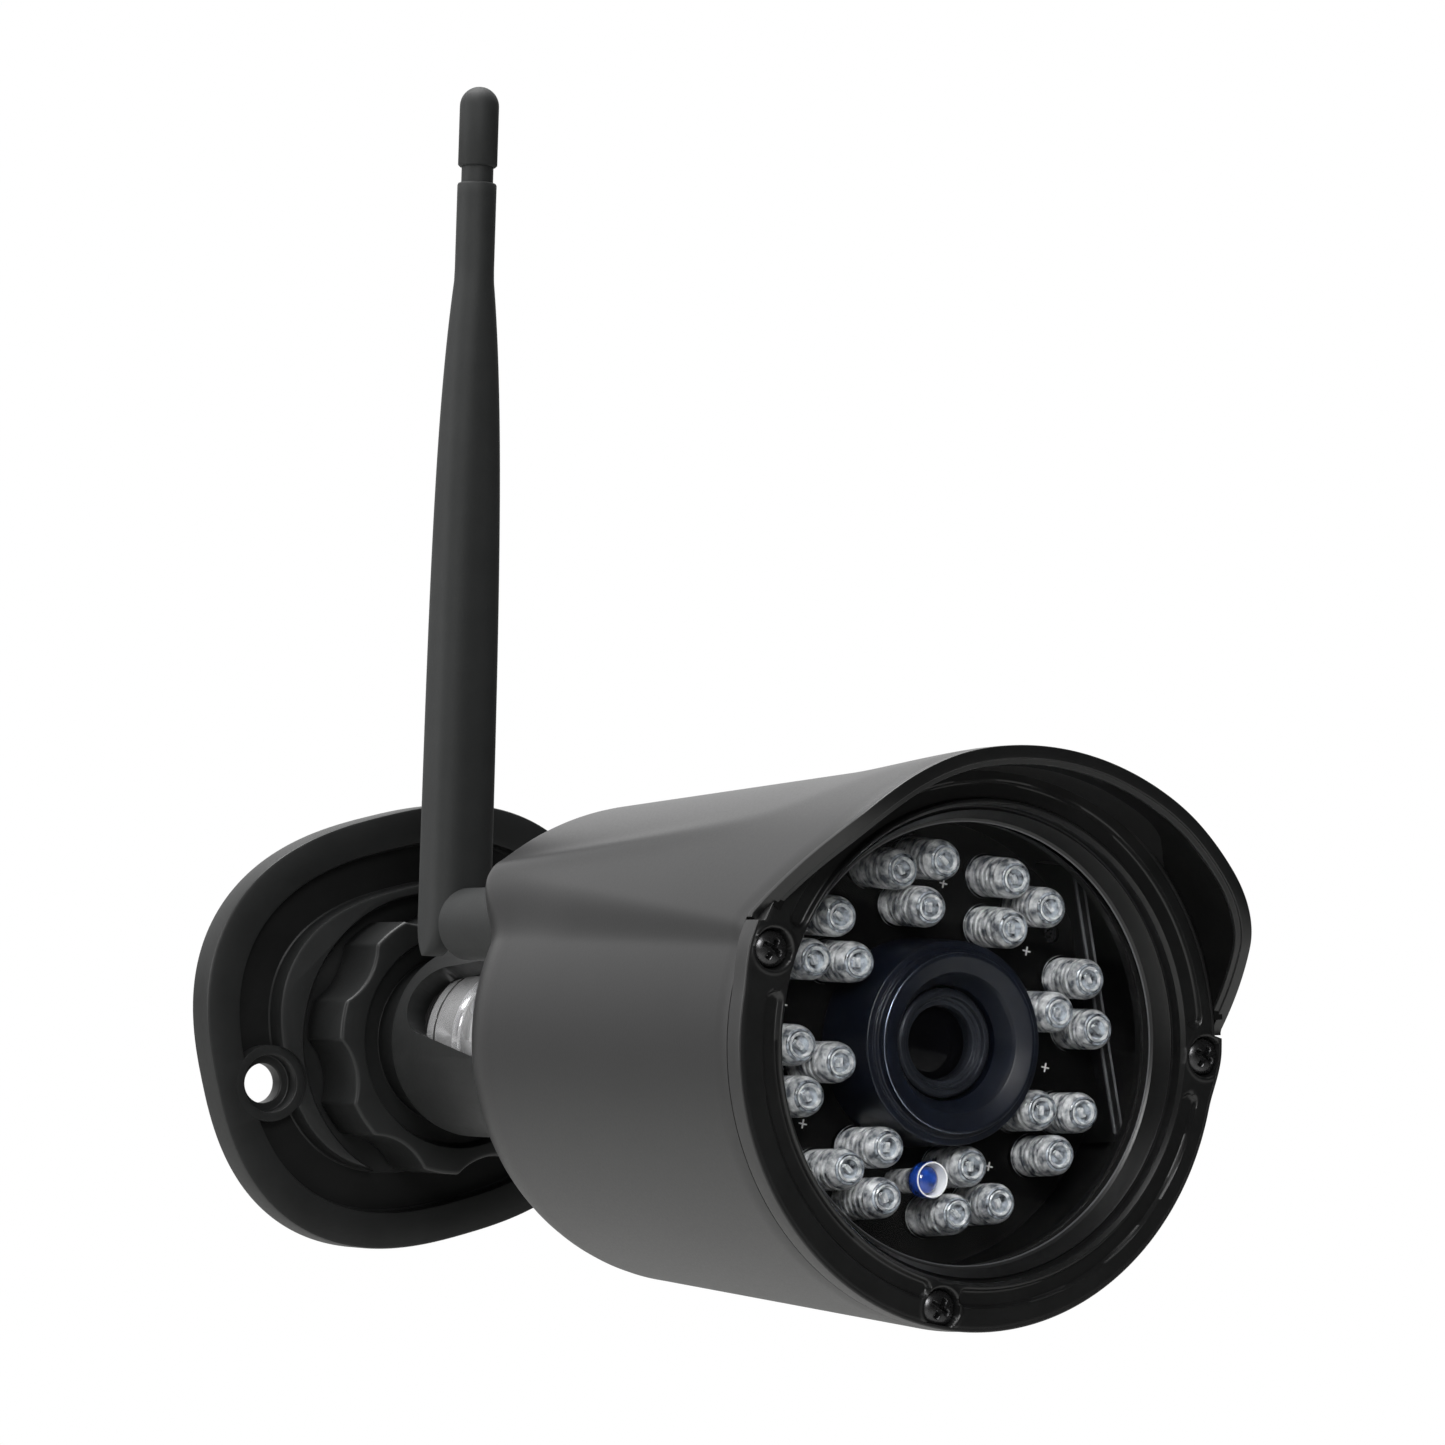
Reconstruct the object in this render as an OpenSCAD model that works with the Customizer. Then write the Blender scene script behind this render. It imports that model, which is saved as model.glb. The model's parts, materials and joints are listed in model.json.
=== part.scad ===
// Outdoor wireless bullet camera on a ball-jointed wall bracket.
// Frame: +Z up, wall face of the plate on y = 0, the camera looks along -Y.
// Most pieces are drawn in a local frame whose z axis is the distance from the wall,
// and the module forward() turns that frame into the part's own.

/* [Bracket] */
// Half width of the wall plate along its hole line
plate_a = 33.4; // [33:0.2:36]
// Half width of the wall plate across its hole line
plate_b = 30.2; // [29:0.2:33]
// Lean of the plate's hole line from level, degrees
plate_turn = 25; // [0:1:90]
// Distance of each screw hole from the centre
hole_reach = 26; // [25.8:0.1:26.6]
// Diameter of the wall screw holes
hole_d = 5.5; // [4.5:0.1:5.8]
// Height of the plate's outer rim
rim_h = 5; // [4.5:0.1:5.5]
// Outer radius of the clamp ring over its lobes
clamp_r = 18.7; // [18:0.1:19.2]
// Number of lobes round the clamp ring
clamp_lobes = 8; // [6:1:10]
// Outer radius of the stem
stem_r = 13.3; // [13:0.1:13.6]
// Distance of the stem's mouth from the wall
stem_top = 42.5; // [41:0.5:43]
// Distance of the ball's centre from the wall
ball_z = 33.5; // [33:0.1:34]
// Radius of the chrome ball
ball_r = 10.2; // [10:0.1:10.4]
// Direction of the slot in the stem, degrees from +X towards +Z
slot_dir = 160; // [150:1:170]

/* [Head] */
// Distance of the window plane from the wall
window_z = 141.5; // [140:0.5:143]
// Height of the head's axis above the stud's axis
head_rise = 0.9; // [0:0.1:1.2]
// Radius of the lower housing at the window plane
low_r = 35; // [34.6:0.1:35.2]
// Radius of the visor's sides at the window plane
side_r = 35.9; // [35.6:0.1:36.2]
// Reach of the visor ahead of the window plane
hood_reach = 14.5; // [12:0.5:18]
// Wall thickness of the housing
wall = 2.2; // [2:0.1:2.4]
// Radius of the clear window
window_r = 27; // [26:0.1:27.4]
// Width of the bezel's side wall ahead of the seam
bezel_h = 3; // [2.6:0.1:3.4]

/* [Optics] */
// Number of lamp clusters round the lens
clusters = 8; // [4:1:8]
// Radius of the outer lamps' circle
lamp_out_r = 21.3; // [20:0.1:22]
// Radius of the inner lamps' circle
lamp_in_r = 15.9; // [15.2:0.1:16.4]
// Half angle between a cluster's two outer lamps, degrees
lamp_spread = 8.4; // [7.6:0.1:10]
// Diameter of each infrared lamp
lamp_d = 5; // [4.6:0.1:5.2]
// Outer radius of the lens shroud
shroud_r = 12.1; // [11.6:0.1:12.4]

/* [Antenna] */
// Sideways place of the antenna's barrel, towards -X
ant_x = 21; // [20:0.2:22]
// Height of the barrel above the window's axis
ant_z = 10.9; // [10:0.1:12]
// Lean of the blade from upright, degrees
ant_lean = 10; // [0:0.5:15]
// Length of the blade and its tip cap above the hinge
ant_len = 113; // [100:1:130]
// Distance of the blade's axis from the wall
blade_z = 44.5; // [44:0.1:45]
// Width of the blade near its foot
blade_w = 9.5; // [9.2:0.1:10]
// Thickness of the blade near its foot
blade_t = 7.8; // [7.6:0.1:8.2]

/* [Hidden] */

EPS = 0.01;
CHARCOAL = "#4a4a4c";
BLACK = "#1a1a1b";
MATT = "#38393a";
STEEL = "#c4c6c8";
BRASS = "#b99a52";
GREEN = "#1d4a34";
GLASS = "#9fb2bd";

// Distances from the wall
seam_z = window_z + 1.5;
bezel_z = seam_z + bezel_h;
hood_z = window_z + hood_reach;
dome_z = window_z - 62;
dome_h = 23.4;
rear_z = dome_z - dome_h;
rear_flat = rear_z + 1.4;
visor_dome_z = window_z - 71;
visor_dome_h = 11;
glass_z = window_z - 0.2;
glass_t = 1.4;
barrel_z = window_z - 5.2;
lamp_top = window_z - 3.5;
lamp_h = 8.6;
board_t = 1.6;
led_z = lamp_top - lamp_h;
sensor_z = led_z - 24;
main_z = sensor_z - 16;
board_r = 26.8;
frame_turn = 22.4;
frame_x = 24.7;

// Tapers of the head, in millimetres of radius per millimetre of length
low_taper = 0.05;
side_taper = 0.02;
top_taper = 0.053;
top_r = 40;
top_rise = 34.9;

// Hood edge: a slanted run from the ear, then an arc up to the front
hood_arc = 12;
hood_arc_y = 26.4;
hood_slant = 41.8;

// Heights of the bezel's ears, which carry its side screws
ear_low = 0.4;
ear_high = 7.8;

// Clamp and stem; the plate's outline sits a little off the stem's axis
plate_off = [-0.6, 2.2];
hub_r = 14.4;
hub_z = 8;
flange_t = 2;
washer_t = 1;
flange_z = hub_z + washer_t;
clamp_z = 13.5;
clamp_foot = 3.2;
neck_r = 11.6;
shoulder_z = 17.5;
seat_z = 22.8;
cup_r = ball_r + 0.35;
slot_w = 10;
shank_r = 3.175;
GAP = 0.3;

// Cable outlet, low on the housing's rear
gland_y = -19;
gland_z = rear_z + 2;

// Antenna
ant_seat = rear_z + 10;
spigot_r = 2;
pin_r = 1;
barrel_r = 4.85;
barrel_end = blade_z + blade_t / 2 + 0.4;
cap_d = 5.3;
cap_len = 10.9;
fork_w = 3.4;
taper_len = 20;

function low_at(z) = low_r - low_taper * (window_z - z);
function side_at(z) = side_r - side_taper * (window_z - z);

// Half an ellipse's profile from its pole to its rim, as [radius, distance]
function dome(r, z_rim, h, steps = 14) =
    [for (i = [0:steps]) let (t = 90 * i / steps) [r * sin(t), z_rim - h * cos(t)]];

// Closed outline of the wall plate, shrunk by inset all round
function plate_outline(inset, steps = 72, power = 2.5) =
    [for (i = [0:steps - 1]) let (t = 360 * i / steps, c = cos(t), s = sin(t))
        [(plate_a - inset) * sign(c) * pow(abs(c), 2 / power),
         (plate_b - inset) * sign(s) * pow(abs(s), 2 / power)]];

module forward() {
    rotate([90, 0, 0]) children();
}

module on_head() {
    forward() translate([0, head_rise, 0]) children();
}

module tube(r_out, r_in, z0, z1) {
    translate([0, 0, z0]) difference() {
        cylinder(r = r_out, h = z1 - z0, $fn = 96);
        translate([0, 0, -1]) cylinder(r = r_in, h = z1 - z0 + 2, $fn = 96);
    }
}

module rod(r, z0, z1) {
    translate([0, 0, z0]) cylinder(r = r, h = z1 - z0, $fn = 48);
}

module block(size_x, size_y, z0, z1) {
    translate([-size_x / 2, -size_y / 2, z0]) cube([size_x, size_y, z1 - z0]);
}

// ---------- bracket ----------

module plate_layer(inset, z0, z1) {
    translate([plate_off[0], plate_off[1], z0]) linear_extrude(z1 - z0) polygon(plate_outline(inset));
}

module at_wall_holes() {
    for (side = [-1, 1]) translate([side * hole_reach, 0, 0]) children();
}

module wall_plate() {
    floor_z = 2.6;
    terrace_z = 5.8;
    rim_w = 5;
    terrace_in = 10.6;
    well_r = 20.4;
    boss_r = 5.3;
    head_bore_r = 4;
    color(BLACK) forward() rotate(plate_turn) difference() {
        union() {
            plate_layer(0.5, 0, 0.5);
            plate_layer(0, 0.5, rim_h - 0.5);
            plate_layer(0.5, rim_h - 0.5, rim_h);
            plate_layer(terrace_in, 1, terrace_z);
            at_wall_holes() rod(boss_r, 1, rim_h);
            rod(hub_r, 1, hub_z);
        }
        difference() {
            plate_layer(rim_w, floor_z, rim_h + 1);
            plate_layer(terrace_in, floor_z - 1, rim_h + 2);
            at_wall_holes() rod(boss_r, floor_z - 1, rim_h + 2);
        }
        difference() {
            rod(well_r, 3, terrace_z + 1);
            rod(hub_r, 2, hub_z + 1);
        }
        at_wall_holes() rod(hole_d / 2, -1, rim_h + 3);
        at_wall_holes() rod(head_bore_r, floor_z, rim_h + 3);
        at_wall_holes() rod(boss_r, rim_h, rim_h + 3);
        rod(9, 2.4, hub_z + 1);
    }
}

module clamp_ring() {
    valley_r = 9;
    valley_turn = -109.5;
    color(BLACK) forward() difference() {
        union() {
            rod(clamp_r, clamp_foot, clamp_z - 0.8);
            translate([0, 0, clamp_z - 0.8]) cylinder(r1 = clamp_r, r2 = clamp_r - 0.8, h = 0.8, $fn = 96);
        }
        rod(hub_r + GAP, clamp_foot - 1, flange_z + flange_t + GAP);
        rod(neck_r + 0.5, clamp_foot, clamp_z + 1);
        translate([0, 0, clamp_z - 1.5]) cylinder(r1 = neck_r + 0.5, r2 = neck_r + 3.3, h = 1.6, $fn = 96);
        for (i = [0:clamp_lobes - 1])
            rotate(valley_turn + i * 360 / clamp_lobes) translate([16.9 + valley_r, 0, 0])
                rod(valley_r, clamp_foot - 1, clamp_z + 1);
    }
}

module friction_washer() {
    color(BLACK) forward() tube(hub_r - 0.4, 9.6, hub_z, hub_z + washer_t);
}

// The slot narrows towards the wall and ends in a half round
module slot_cut(width) {
    slot_end = 26;
    translate([0, 0, slot_end]) rotate([0, 90, 0]) rod(width / 2, 0, 30);
    translate([0, -width / 2, slot_end]) cube([30, width, 40]);
    for (side = [0, 1]) mirror([0, side, 0])
        translate([0, width / 2 - EPS, slot_end]) rotate([90, 0, 90])
            linear_extrude(30) polygon([[-1, 0], [0, 0], [2.6, 20], [-1, 20]]);
}

module stem() {
    color(BLACK) forward() difference() {
        union() {
            rod(hub_r, flange_z, flange_z + flange_t);
            rod(neck_r, flange_z, shoulder_z + 1);
            translate([0, 0, shoulder_z]) cylinder(r1 = stem_r - 0.8, r2 = stem_r, h = 0.8, $fn = 96);
            rod(stem_r, shoulder_z + 0.8, stem_top - 1);
            translate([0, 0, stem_top - 1]) cylinder(r1 = stem_r, r2 = stem_r - 1, h = 1, $fn = 96);
        }
        rod(cup_r, seat_z, ball_z);
        translate([0, 0, ball_z]) sphere(r = cup_r, $fn = 96);
        translate([0, 0, ball_z + 4]) cylinder(r1 = 8.4, r2 = 13, h = 8, $fn = 96);
        rod(7, flange_z - 1, seat_z + 1);
        rotate(slot_dir) slot_cut(slot_w);
    }
}

// Plated cup under the ball, seen through the slot
module ball_seat() {
    color(STEEL) forward() difference() {
        rod(cup_r - 0.15, seat_z, 30);
        translate([0, 0, ball_z]) sphere(r = ball_r + 0.05, $fn = 96);
        rod(6, seat_z - 1, 28);
        tube(cup_r + 1, cup_r - 0.55, seat_z + 1.4, seat_z + 1.9);
    }
}

module ball_stud() {
    flat_z = ball_z - 9.2;
    color(STEEL) forward() {
        difference() {
            translate([0, 0, ball_z]) sphere(r = ball_r, $fn = 96);
            rod(ball_r + 1, ball_z - ball_r - 1, flat_z);
            tube(ball_r + 1, ball_r - 1.15, ball_z - 4.6, ball_z - 3.8);
            rotate(slot_dir) translate([0, 0, ball_z + 1]) rotate([0, 90, 0]) rod(1.8, 4, 12);
        }
        rod(4.6, ball_z + 8, ball_z + 15.5);
        rod(shank_r, ball_z + 15, rear_flat + 6);
    }
}

module stud_nut() {
    nut_z = ball_z + 16;
    color(STEEL) forward() difference() {
        translate([0, 0, nut_z]) cylinder(r = 7, h = 4.6, $fn = 6);
        rod(shank_r + 0.1, nut_z - 1, nut_z + 6);
    }
}

// ---------- housing ----------

module revolve(points) {
    rotate_extrude($fn = 128) polygon(points);
}

module low_body(inset, front_z) {
    revolve(concat(
        dome(low_at(dome_z) - inset, dome_z, dome_h - inset),
        [[low_at(front_z) - inset, front_z], [0, front_z]]));
}

module visor_body() {
    tilt = atan(top_taper);
    intersection() {
        revolve(concat(
            dome(side_at(visor_dome_z), visor_dome_z, visor_dome_h),
            [[side_at(hood_z), hood_z], [0, hood_z]]));
        translate([0, top_rise - top_r - top_taper * window_z, 0]) rotate([-tilt, 0, 0])
            rod(top_r, 0, hood_z + 20);
        visor_wedge();
    }
}

// Everything above the visor's lower edge, which drops towards the front
module visor_wedge() {
    drop = 3.6;
    edge_front = 6.5;
    slope = 1.15;
    inner = edge_front - slope * (side_r - 2);
    translate([0, 0, window_z]) rotate([drop, 0, 0]) translate([0, 0, -120])
        linear_extrude(160) polygon([[0, inner], [50, inner + 50 * slope], [50, 70],
                                     [-50, 70], [-50, inner + 50 * slope]]);
}

// Side view of the hood, cut back by the given distance
module hood_side(back) {
    low = -45;
    arc = [for (i = [0:8]) let (t = -hood_slant * (1 - i / 8))
        [hood_z - back - hood_arc + hood_arc * cos(t), hood_arc_y + hood_arc * sin(t)]];
    run = 6.5 - hood_arc_y + hood_arc * sin(hood_slant);
    foot = [arc[0][0] + run * tan(hood_slant), 6.5];
    rotate([0, -90, 0]) translate([0, 0, -50]) linear_extrude(100)
        polygon(concat([[0, low], [min(foot[0], seam_z), low], foot], arc,
                       [[hood_z - back, 50], [0, 50]]));
}

module bezel_screw_places() {
    for (p = [[-32, 4.9], [32, 4.9], [0, -32.4]]) translate([p[0], p[1], 0]) children();
}

module housing_outer() {
    low_body(0, seam_z);
    intersection() {
        visor_body();
        hood_side(1);
    }
}

module housing() {
    inner_front = bezel_z + 20;
    color(CHARCOAL) on_head() difference() {
        union() {
            difference() {
                housing_outer();
                low_body(wall, seam_z + EPS);
                rod(low_r - 0.05, seam_z, inner_front);
            }
            intersection() {
                bezel_screw_places() rod(2.2, seam_z - 16, seam_z - 1);
                low_body(0.5, seam_z);
            }
            translate([0, -head_rise, 0]) rod(8, rear_flat, rear_flat + 9);
            translate([-ant_x, ant_z, 0]) rod(6.4, ant_seat - 4, ant_seat + 8);
            translate([0, gland_y, 0]) rod(7, gland_z, gland_z + 9);
        }
        rod(40, rear_z - 5, rear_flat);
        translate([0, -head_rise, 0]) rod(4.6, rear_flat - 1, rear_flat + 8);
        translate([-ant_x, ant_z, 0]) rod(3.2, rear_z, ant_seat + 10);
        translate([-ant_x, ant_z, 0]) rod(5.3, rear_z - 5, ant_seat);
        translate([0, gland_y, 0]) {
            rod(4.4, rear_z - 5, gland_z + 12);
            rod(6.5, gland_z + 9, gland_z + 13);
        }
        bezel_screw_places() rod(1.25, seam_z - 14, seam_z + 1);
    }
}

module stud_insert() {
    color(BRASS) forward() difference() {
        rod(4.6, rear_flat, rear_flat + 8);
        rod(shank_r + 0.05, rear_flat - 1, rear_flat + 7);
    }
}

module visor_trim() {
    color(BLACK) on_head() {
        // Rim that caps the hood's front edge
        difference() {
            intersection() {
                visor_body();
                hood_side(0);
            }
            hood_side(1);
            rod(side_r - 2.6, 0, hood_z + 5);
            rod(50, 0, seam_z + 1.3);
            rod(low_r - 0.05, 0, bezel_z + 0.1);
            translate([-50, -50, 0]) cube([100, 50 + ear_high + 0.3, bezel_z + 0.1]);
        }
        // Liner inside the visor
        intersection() {
            tube(low_r - 0.2, side_r - 2.6, bezel_z + 0.2, hood_z);
            hood_side(0);
        }
    }
}

// A channel with round ends sunk into the bezel's face
module face_channel(from, to, r_mid, width, depth) {
    translate([0, 0, bezel_z - depth]) {
        rotate([0, 0, from]) rotate_extrude(angle = to - from, $fn = 96)
            translate([r_mid - width / 2, 0]) square([width, depth + 1]);
        for (a = [from, to]) rotate(a) translate([r_mid, 0, 0]) rod(width / 2 - 0.05, 0, depth + 1);
    }
}

module front_bezel() {
    seat_r = window_r + 1.3;
    spigot_r = 29.4;
    out_r = low_r - 0.2;
    channel_spans = [[17.5, 162.5], [182, 264], [276, 358]];
    color(BLACK) on_head() difference() {
        union() {
            revolve([[window_r, glass_z], [window_r, window_z], [window_r + 0.4, window_z + 0.6],
                     [window_r + 1.4, window_z + 3], [window_r + 1.9, window_z + 2.8],
                     [window_r + 2, bezel_z - 0.3], [window_r + 2.3, bezel_z],
                     [out_r - 0.6, bezel_z], [out_r, bezel_z - 0.6], [out_r, seam_z + 0.15],
                     [spigot_r, seam_z + 0.15], [spigot_r, window_z - 6],
                     [seat_r, window_z - 6], [seat_r, glass_z]]);
            intersection() {
                tube(side_r, out_r - 2, seam_z + 0.15, bezel_z - 0.2);
                translate([-50, ear_low, 0]) cube([100, ear_high - ear_low, 200]);
            }
        }
        for (span = channel_spans) face_channel(span[0], span[1], 30.7, 2.1, 0.7);
        bezel_screw_places() rod(2.35, bezel_z - 1.4, bezel_z + 1);
        bezel_screw_places() rod(1.4, window_z - 8, bezel_z + 1);
    }
}

module bezel_screws() {
    color("#2a2a2c") on_head() bezel_screw_places() difference() {
        union() {
            rod(1.25, seam_z - 10, bezel_z - 1.4);
            rod(2.2, bezel_z - 1.4, bezel_z - 0.5);
            translate([0, 0, bezel_z - 0.5]) cylinder(r1 = 2.2, r2 = 1.5, h = 0.4, $fn = 48);
        }
        for (a = [0, 90]) rotate(a + 20) block(0.55, 2.6, bezel_z - 1, bezel_z + 1);
    }
}

module body_seal() {
    color("#101010") on_head() tube(30.9, 29.6, seam_z - 0.9, seam_z + 0.15);
}

// ---------- window and lamps ----------

module window_glass() {
    color(GLASS, 0.4) on_head() rod(window_r + 1.2, glass_z - glass_t, glass_z);
}

module glass_gasket() {
    color("#101010") on_head() tube(window_r + 1.2, window_r - 0.1, glass_z - glass_t - 0.6, glass_z - glass_t);
}

// Ring that presses the glass forward into the bezel
module glass_retainer() {
    color(BLACK) on_head() tube(window_r + 1.3, window_r - 0.1, glass_z - glass_t - 2.2, glass_z - glass_t - 0.6);
}

module at_lamps() {
    translate([0.4, 0.8, 0]) for (i = [0:clusters - 1]) rotate(22.5 + i * 360 / clusters) {
        translate([lamp_in_r, 0, 0]) children();
        for (side = [-1, 1]) rotate(side * lamp_spread) translate([lamp_out_r, 0, 0]) children();
    }
}

module sensor_place() {
    translate([0, -16.9, 0]) children();
}

module led_board() {
    color(BLACK) on_head() difference() {
        round_board(led_z, board_r);
        rod(9, led_z - 4, led_z + 1);
    }
}

// Straight side frame that the three boards stand against; its front edge shows in the window
module board_frame() {
    front = window_z - 9.3;
    color(BLACK) on_head() rotate(frame_turn) translate([frame_x, 0, 0]) {
        translate([0, -17, led_z - 6]) cube([1.2, 34, front - led_z + 6]);
        translate([0, -12, main_z - 4]) cube([1.2, 24, led_z - main_z]);
    }
}

module ir_leds() {
    color("#dfe6ea") on_head() at_lamps() {
        rod(lamp_d / 2 + 0.25, led_z, led_z + 1);
        rod(lamp_d / 2, led_z + 1, lamp_top - lamp_d / 2);
        translate([0, 0, lamp_top - lamp_d / 2]) intersection() {
            sphere(r = lamp_d / 2, $fn = 48);
            rod(lamp_d, 0, lamp_d);
        }
    }
}

module light_sensor() {
    color("#3a63b8") on_head() sensor_place() {
        rod(2.5, led_z, lamp_top - 3.2);
        translate([0, 0, lamp_top - 3.2]) intersection() {
            sphere(r = 2.5, $fn = 48);
            rod(4, 0, 4);
        }
    }
}

module lens_shroud() {
    front = glass_z - glass_t - 0.2;
    color("#20242c") on_head() revolve([
        [9.1, led_z], [shroud_r, led_z], [shroud_r, front - 1.4], [shroud_r - 1.2, front - 1.3],
        [shroud_r - 1.2, front - 0.4], [shroud_r - 1.6, front], [8.9, front], [8.3, front - 0.4],
        [7, front - 3], [7, front - 5], [9.1, front - 5.6]]);
}

module lens_barrel() {
    front = barrel_z;
    back = sensor_z + 4;
    color(BLACK) on_head() revolve([
        [4.6, back], [6, back], [6, front - 8], [6.6, front - 8], [6.6, front - 0.4], [6.1, front],
        [5.5, front - 0.3], [5.1, front - 1], [4.4, front - 1.6], [4.4, front - 4.4], [3, front - 5],
        [3, back + 6], [4.6, back + 5]]);
}

module lens_front_glass() {
    color(GLASS) on_head() intersection() {
        rod(4.35, barrel_z - 4.3, barrel_z - 1);
        translate([0, 0, barrel_z - 11.6]) sphere(r = 10, $fn = 96);
    }
}

module lens_rear_glass() {
    color(GLASS) on_head() rod(4.5, sensor_z + 4.5, sensor_z + 8.5);
}

module lens_holder() {
    color(BLACK) on_head() difference() {
        union() {
            block(18, 18, sensor_z, sensor_z + 8.6);
            rod(8, sensor_z + 8, sensor_z + 15);
        }
        rod(6.05, sensor_z + 3.9, sensor_z + 16);
        rod(5, sensor_z - 1, sensor_z + 5);
        block(12.4, 12.4, sensor_z - 1, sensor_z + 1.6);
        translate([0, -4.6, sensor_z + 1.9]) cube([20, 9.2, 1.4]);
        translate([-5.6, -4.6, sensor_z + 1.9]) cube([11.2, 9.2, 1.4]);
    }
}

// Day and night filter: the carrier slides towards +X to uncover the sensor
module ir_cut_carrier() {
    color("#3c3f44") on_head() difference() {
        translate([-5.2, -4.3, sensor_z + 2.1]) cube([13.4, 8.6, 1]);
        translate([-3.6, -3.4, sensor_z + 2]) cube([6.8, 6.8, 2]);
    }
}

module ir_cut_filter() {
    color("#c9a9b4") on_head() translate([-3.6, -3.4, sensor_z + 2.3]) cube([6.8, 6.8, 0.5]);
}

// ---------- electronics ----------

module spacer_places() {
    for (a = [45:90:315]) rotate(a) translate([23.6, 0, 0]) children();
}

// Round board with one straight side, for the frame
module round_board(z, r) {
    difference() {
        rod(r, z - board_t, z);
        spacer_places() rod(1.1, z - 4, z + 1);
        rotate(frame_turn) translate([frame_x, -30, z - 4]) cube([10, 60, 8]);
    }
}

module sensor_board() {
    color(GREEN) on_head() round_board(sensor_z, board_r);
}

module image_sensor() {
    color("#565a66") on_head() block(8, 7, sensor_z, sensor_z + 1.2);
}

module front_spacers() {
    color(BRASS) on_head() spacer_places() difference() {
        translate([0, 0, sensor_z]) cylinder(r = 2.4, h = led_z - board_t - sensor_z, $fn = 6);
        rod(1.05, sensor_z - 1, led_z);
    }
}

module main_board() {
    color(GREEN) on_head() round_board(main_z, board_r);
}

module shield_can() {
    can_h = 3;
    color(STEEL) on_head() translate([-4.5, 12, 0]) difference() {
        block(16, 13, main_z - board_t - can_h, main_z - board_t);
        block(15.4, 12.4, main_z - board_t - can_h + 0.3, main_z);
    }
}

module board_chips() {
    color("#26272a") on_head() {
        translate([2, -4, 0]) block(14, 14, main_z, main_z + 1.4);
        translate([-13, -6, 0]) block(8, 10, main_z, main_z + 1.1);
        translate([14, -8, 0]) block(7, 9, main_z - board_t - 1.2, main_z - board_t);
        translate([-4, 16, 0]) rod(3, main_z, main_z + 7);
        translate([4, 16, 0]) rod(3, main_z, main_z + 7);
    }
}

module rear_spacers() {
    color(BRASS) on_head() spacer_places() difference() {
        translate([0, 0, main_z]) cylinder(r = 2.4, h = sensor_z - board_t - main_z, $fn = 6);
        rod(1.05, main_z - 1, sensor_z);
    }
}

module board_screws() {
    color(STEEL) on_head() spacer_places() {
        rod(0.95, led_z - 5, led_z - 0.4);
        rod(0.95, main_z - board_t, main_z + 5);
        rod(1.9, main_z - board_t - 1.2, main_z - board_t);
    }
}

// A flat ribbon between the sensor board and the lamp board
module led_lead() {
    color("#d9d9d9") on_head() translate([-21, -4, sensor_z]) cube([0.8, 8, led_z - board_t - sensor_z]);
}

// Rubber outlet for the power lead, snapped through the housing's rear
module cable_gland() {
    color("#141414") on_head() translate([0, gland_y, 0]) difference() {
        union() {
            rod(4.35, gland_z - 1, gland_z + 10);
            rod(6.2, gland_z + 9, gland_z + 11);
            translate([0, 0, gland_z - 7]) cylinder(r1 = 4, r2 = 5.4, h = 7, $fn = 48);
        }
        rod(2.6, gland_z - 8, gland_z + 12);
    }
}

// ---------- antenna ----------

module at_antenna() {
    on_head() translate([-ant_x, ant_z, 0]) children();
}

// Bulkhead socket, whose spigot the antenna's barrel turns on
module antenna_socket() {
    color(BRASS) at_antenna() {
        rod(spigot_r, ant_seat - 7, ant_seat);
        rod(4.4, ant_seat - 0.9, ant_seat);
        rod(3.15, ant_seat, ant_seat + 13);
    }
}

module socket_nut() {
    color(BRASS) at_antenna() difference() {
        translate([0, 0, ant_seat + 8]) cylinder(r = 5.2, h = 2.2, $fn = 6);
        rod(3.15, ant_seat + 7, ant_seat + 12);
    }
}

// Coaxial lead from the antenna socket to the main board
module aerial_lead() {
    color("#2b2b2b") at_antenna() rod(0.85, ant_seat + 13, main_z - board_t);
}

module antenna_barrel() {
    color(MATT) at_antenna() {
        difference() {
            rod(barrel_r, barrel_end, ant_seat - 1.2);
            rod(spigot_r + 0.05, ant_seat - 7.5, ant_seat);
            translate([0, 0, barrel_end]) difference() {
                rod(barrel_r + 1, -1, 0.6);
                translate([0, 0, -1]) cylinder(r1 = barrel_r - 1.6, r2 = barrel_r, h = 1.6, $fn = 96);
            }
        }
        // Hinge lug between the blade's cheeks
        rotate(ant_lean) difference() {
            union() {
                translate([0, 0, blade_z]) rotate([0, 90, 0]) rod(2.9, -fork_w / 2, fork_w / 2);
                translate([-fork_w / 2, -2.9, blade_z]) cube([fork_w, 5.8, barrel_end - blade_z + 1]);
            }
            translate([0, 0, blade_z]) rotate([0, 90, 0]) rod(pin_r, -6, 6);
        }
    }
}

// The blade's own frame: hinge at the origin, +Z along the blade
module at_blade() {
    at_antenna() translate([0, 0, blade_z]) rotate(ant_lean) rotate([-90, 0, 0]) children();
}

module antenna_pin() {
    color(STEEL) at_blade() rotate([0, 90, 0]) rod(pin_r, -4.4, 4.4);
}

// Rounded cross-section of the blade, as an outline of the given width and thickness
function blade_outline(w, t, steps = 32, power = 2.5) =
    [for (i = [0:steps - 1]) let (a = 360 * i / steps, c = cos(a), s = sin(a))
        [w / 2 * sign(c) * pow(abs(c), 2 / power), t / 2 * sign(s) * pow(abs(s), 2 / power)]];

// Width and thickness of the blade at height h above the hinge
function blade_mix(h) = 1 - exp(-max(0, ant_len - 26 - h) / taper_len);
function blade_width(h) = cap_d + (blade_w - cap_d) * blade_mix(h);
function blade_thick(h) = cap_d + (blade_t - cap_d) * blade_mix(h);

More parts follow.
